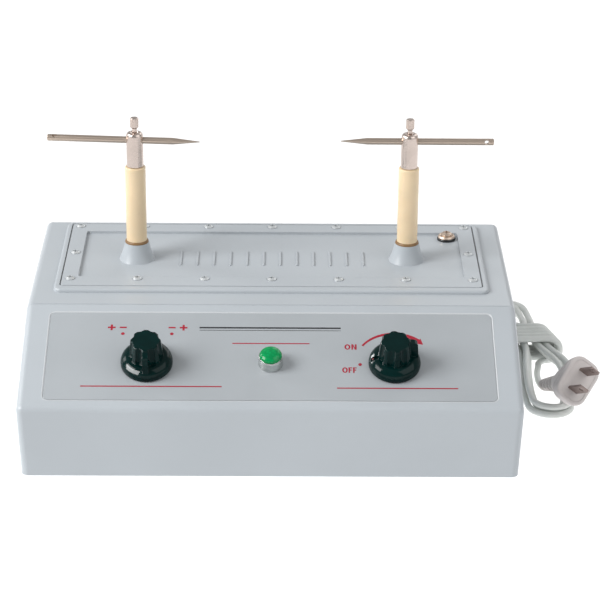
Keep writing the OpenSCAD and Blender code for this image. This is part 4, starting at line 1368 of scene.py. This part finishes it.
EVEN = (1.0, 1.0, 1.0)
FINISHES: dict[str, Finish] = {
    f.name: f
    for f in (
        Moulded("case_grey", tint(174, 180, 185), 0.34, 0.025),
        Moulded("base_grey", tint(160, 166, 170), 0.5),
        Turned(
            "steel_screw", tint(206, 210, 212), 0.36, EVEN, 900.0, tarnish_share=0.08, metal=0.5
        ),
        Moulded("black_rubber", tint(26, 26, 27), 0.75, 0.1, 60.0),
        Moulded("panel_grey", tint(161, 166, 170), 0.36, 0.035, 14.0, 2200.0, 0.006 * MM),
        Moulded(
            "cream_plastic", tint(223, 200, 164), 0.32, 0.05, 40.0, 700.0, 0.006 * MM,
            sheen=0.8, glow=0.15,
        ),
        Seal("brown_seal", tint(126, 96, 60), 0.45, upper=tint(206, 180, 142)),
        Turned("nickel", tint(206, 192, 184), 0.26, mark_depth=0.002 * MM, tarnish_share=0.1),
        Turned("needle_steel", tint(196, 180, 166), 0.36, (30.0, 1.0, 1.0), tarnish_share=0.15),
        Turned("brass", tint(206, 188, 172), 0.36, EVEN, 700.0, tarnish_share=0.12, metal=0.85),
        Moulded("black_plastic", tint(24, 25, 26), 0.3),
        # The knobs' edges are painted much lighter, mostly as a painted highlight.
        Moulded(
            "knob_black", tint(0, 29, 28), 0.1, 0.15, 120.0, 900.0, 0.004 * MM,
            edge_wear_and_highlight=1.5, sheen=0.16,
        ),
        Turned("shaft_metal", tint(190, 190, 190), 0.3),
        Moulded("switch_blue", tint(60, 92, 130), 0.4),
        Turned("control_body", tint(170, 168, 160), 0.35, EVEN, 300.0),
        Turned("chrome_ring", tint(206, 210, 208), 0.2),
        # The green lens has a faint painted glow of 0.03.
        Lens("green_lens", tint(0, 142, 78), 0.12, 0.06, 0.03),
        Laminate("board_green", tint(28, 92, 52), 0.35),
        Moulded("nylon", tint(226, 224, 214), 0.45, glow=0.2),
        Moulded("capacitor_sleeve", tint(34, 38, 74), 0.25),
        Turned("aluminium", tint(178, 180, 182), 0.36, (1.0, 1.0, 12.0)),
        Lens("fuse_glass", tint(222, 230, 230), 0.05, 0.8),
        Wound("core_iron", tint(86, 84, 82), 0.5, "Z", 0.5 * MM, 0.8),
        Wound("copper_winding", tint(190, 116, 58), 0.35, "X", 0.4 * MM, 0.9),
        Wound("resin", tint(118, 52, 34), 0.3, "X", 1.5 * MM),
        Moulded("red_wire", tint(190, 34, 30), 0.4),
        Moulded("green_wire", tint(60, 140, 60), 0.4),
        Moulded("cord_grey", tint(212, 215, 212), 0.42, 0.05, 55.0, 900.0, 0.02 * MM),
        Moulded("gland_grey", tint(150, 150, 150), 0.5),
        Moulded("plug_grey", tint(206, 199, 197), 0.5, 0.06, 60.0, 700.0, 0.04 * MM),
        Turned("blade_metal", tint(146, 132, 128), 0.48, EVEN, 500.0),
        Ink("ink_red", tint(150, 18, 42), 0.5),
        Ink("ink_dark", tint(30, 30, 34), 0.5),
        Ink("mark_red", tint(96, 14, 26), 0.4),
        Moulded("edge_grey", tint(196, 200, 203), 0.3, 0.02),
    )
}


class Casework:
    """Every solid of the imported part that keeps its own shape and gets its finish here."""

    def dress(self) -> None:
        """Gives each node the finish of its material slot."""
        for name, node in sorted(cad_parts.items()):
            slot = node.data.materials[0].name.split(".")[0]
            FINISHES[slot].dress(node)
            log.info("%s: %s", name, slot)


@dataclass
class KnobMark:
    """A small painted dot on the shoulder of a knob's skirt that shows where the knob points."""

    panel: Panel
    body: Body
    x: float
    turn: float
    radius: float = 0.5
    reach: float = 12.6
    lift: float = 1.6
    grip: float = 9.3
    dome: Pair = (5.5, 5.6)
    rings: Rows = (
        (1.0, -0.25), (1.0, 0.04), (0.8, 0.08), (0.4, 0.09), (0.05, 0.09),
    )
    ring_points: int = 20

    def shoulder(self, reach: float) -> float:
        """Gives the height of the domed skirt over the slope at a distance from the knob's axis."""
        share = min(max((reach - self.grip) / self.dome[0], 0.0), 1.0)
        return self.lift + self.dome[1] * math.sqrt(1 - share * share)

    def ring(self, share: float, out: float) -> list[Vector]:
        """Gives one ring of the dot.

        Args:
            share: share of the dot's radius.
            out: height over the skirt in millimetres.

        Returns:
            The points in metres.
        """
        a = math.radians(90 + self.turn)
        points = []
        for k in range(self.ring_points):
            t = 2 * math.pi * k / self.ring_points
            u = self.reach * math.cos(a) + self.radius * share * math.cos(t)
            v = self.reach * math.sin(a) + self.radius * share * math.sin(t)
            height = self.shoulder(math.hypot(u, v)) + out
            points.append(self.panel.point(self.x + u, self.panel.knob_s + v, height))
        return points

    def build(self) -> None:
        """Makes the dot, which follows the curve of the skirt."""
        rings = [self.ring(share, out) for share, out in self.rings]
        Modeller.fit(Modeller.lofted(f"{self.body.value}_mark", rings), "mark_red", self.body)


def corners(low: Vector, high: Vector) -> dict[str, list[float]]:
    """Writes the two corners of a box as plain lists, by name."""
    return {"low": [round(v, 6) for v in low], "high": [round(v, 6) for v in high]}


def main() -> None:
    """Builds the scene in order: camera, plug and cord, studio, casework, panel and cover edging,
    print and knob marks.
    """
    logging.basicConfig(level=logging.INFO, format="%(message)s")
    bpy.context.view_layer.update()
    studio = Studio()
    studio.camera()
    plug = MainsPlug()
    moulding = plug.build()
    MainsLead().build(plug, [moulding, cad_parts["plug_blades"]])
    studio.light()
    Casework().dress()
    panel = Panel()
    cover = Cover()
    Edging("panel_edge", "edge_grey", panel.point, *panel.plate, panel.edge).build()
    # A grey strip in the cover's gap, as painted shade.
    Edging("cover_gap_shade", "gland_grey", cover.point, *cover.plate, cover.seal).build()
    Legend(panel).build()
    KnobMark(panel, Body.KNOB_LEFT, -panel.knob_x, 0.0).build()
    KnobMark(panel, Body.KNOB_RIGHT, panel.knob_x, 97.0).build()


if __name__ == "__main__":
    main()
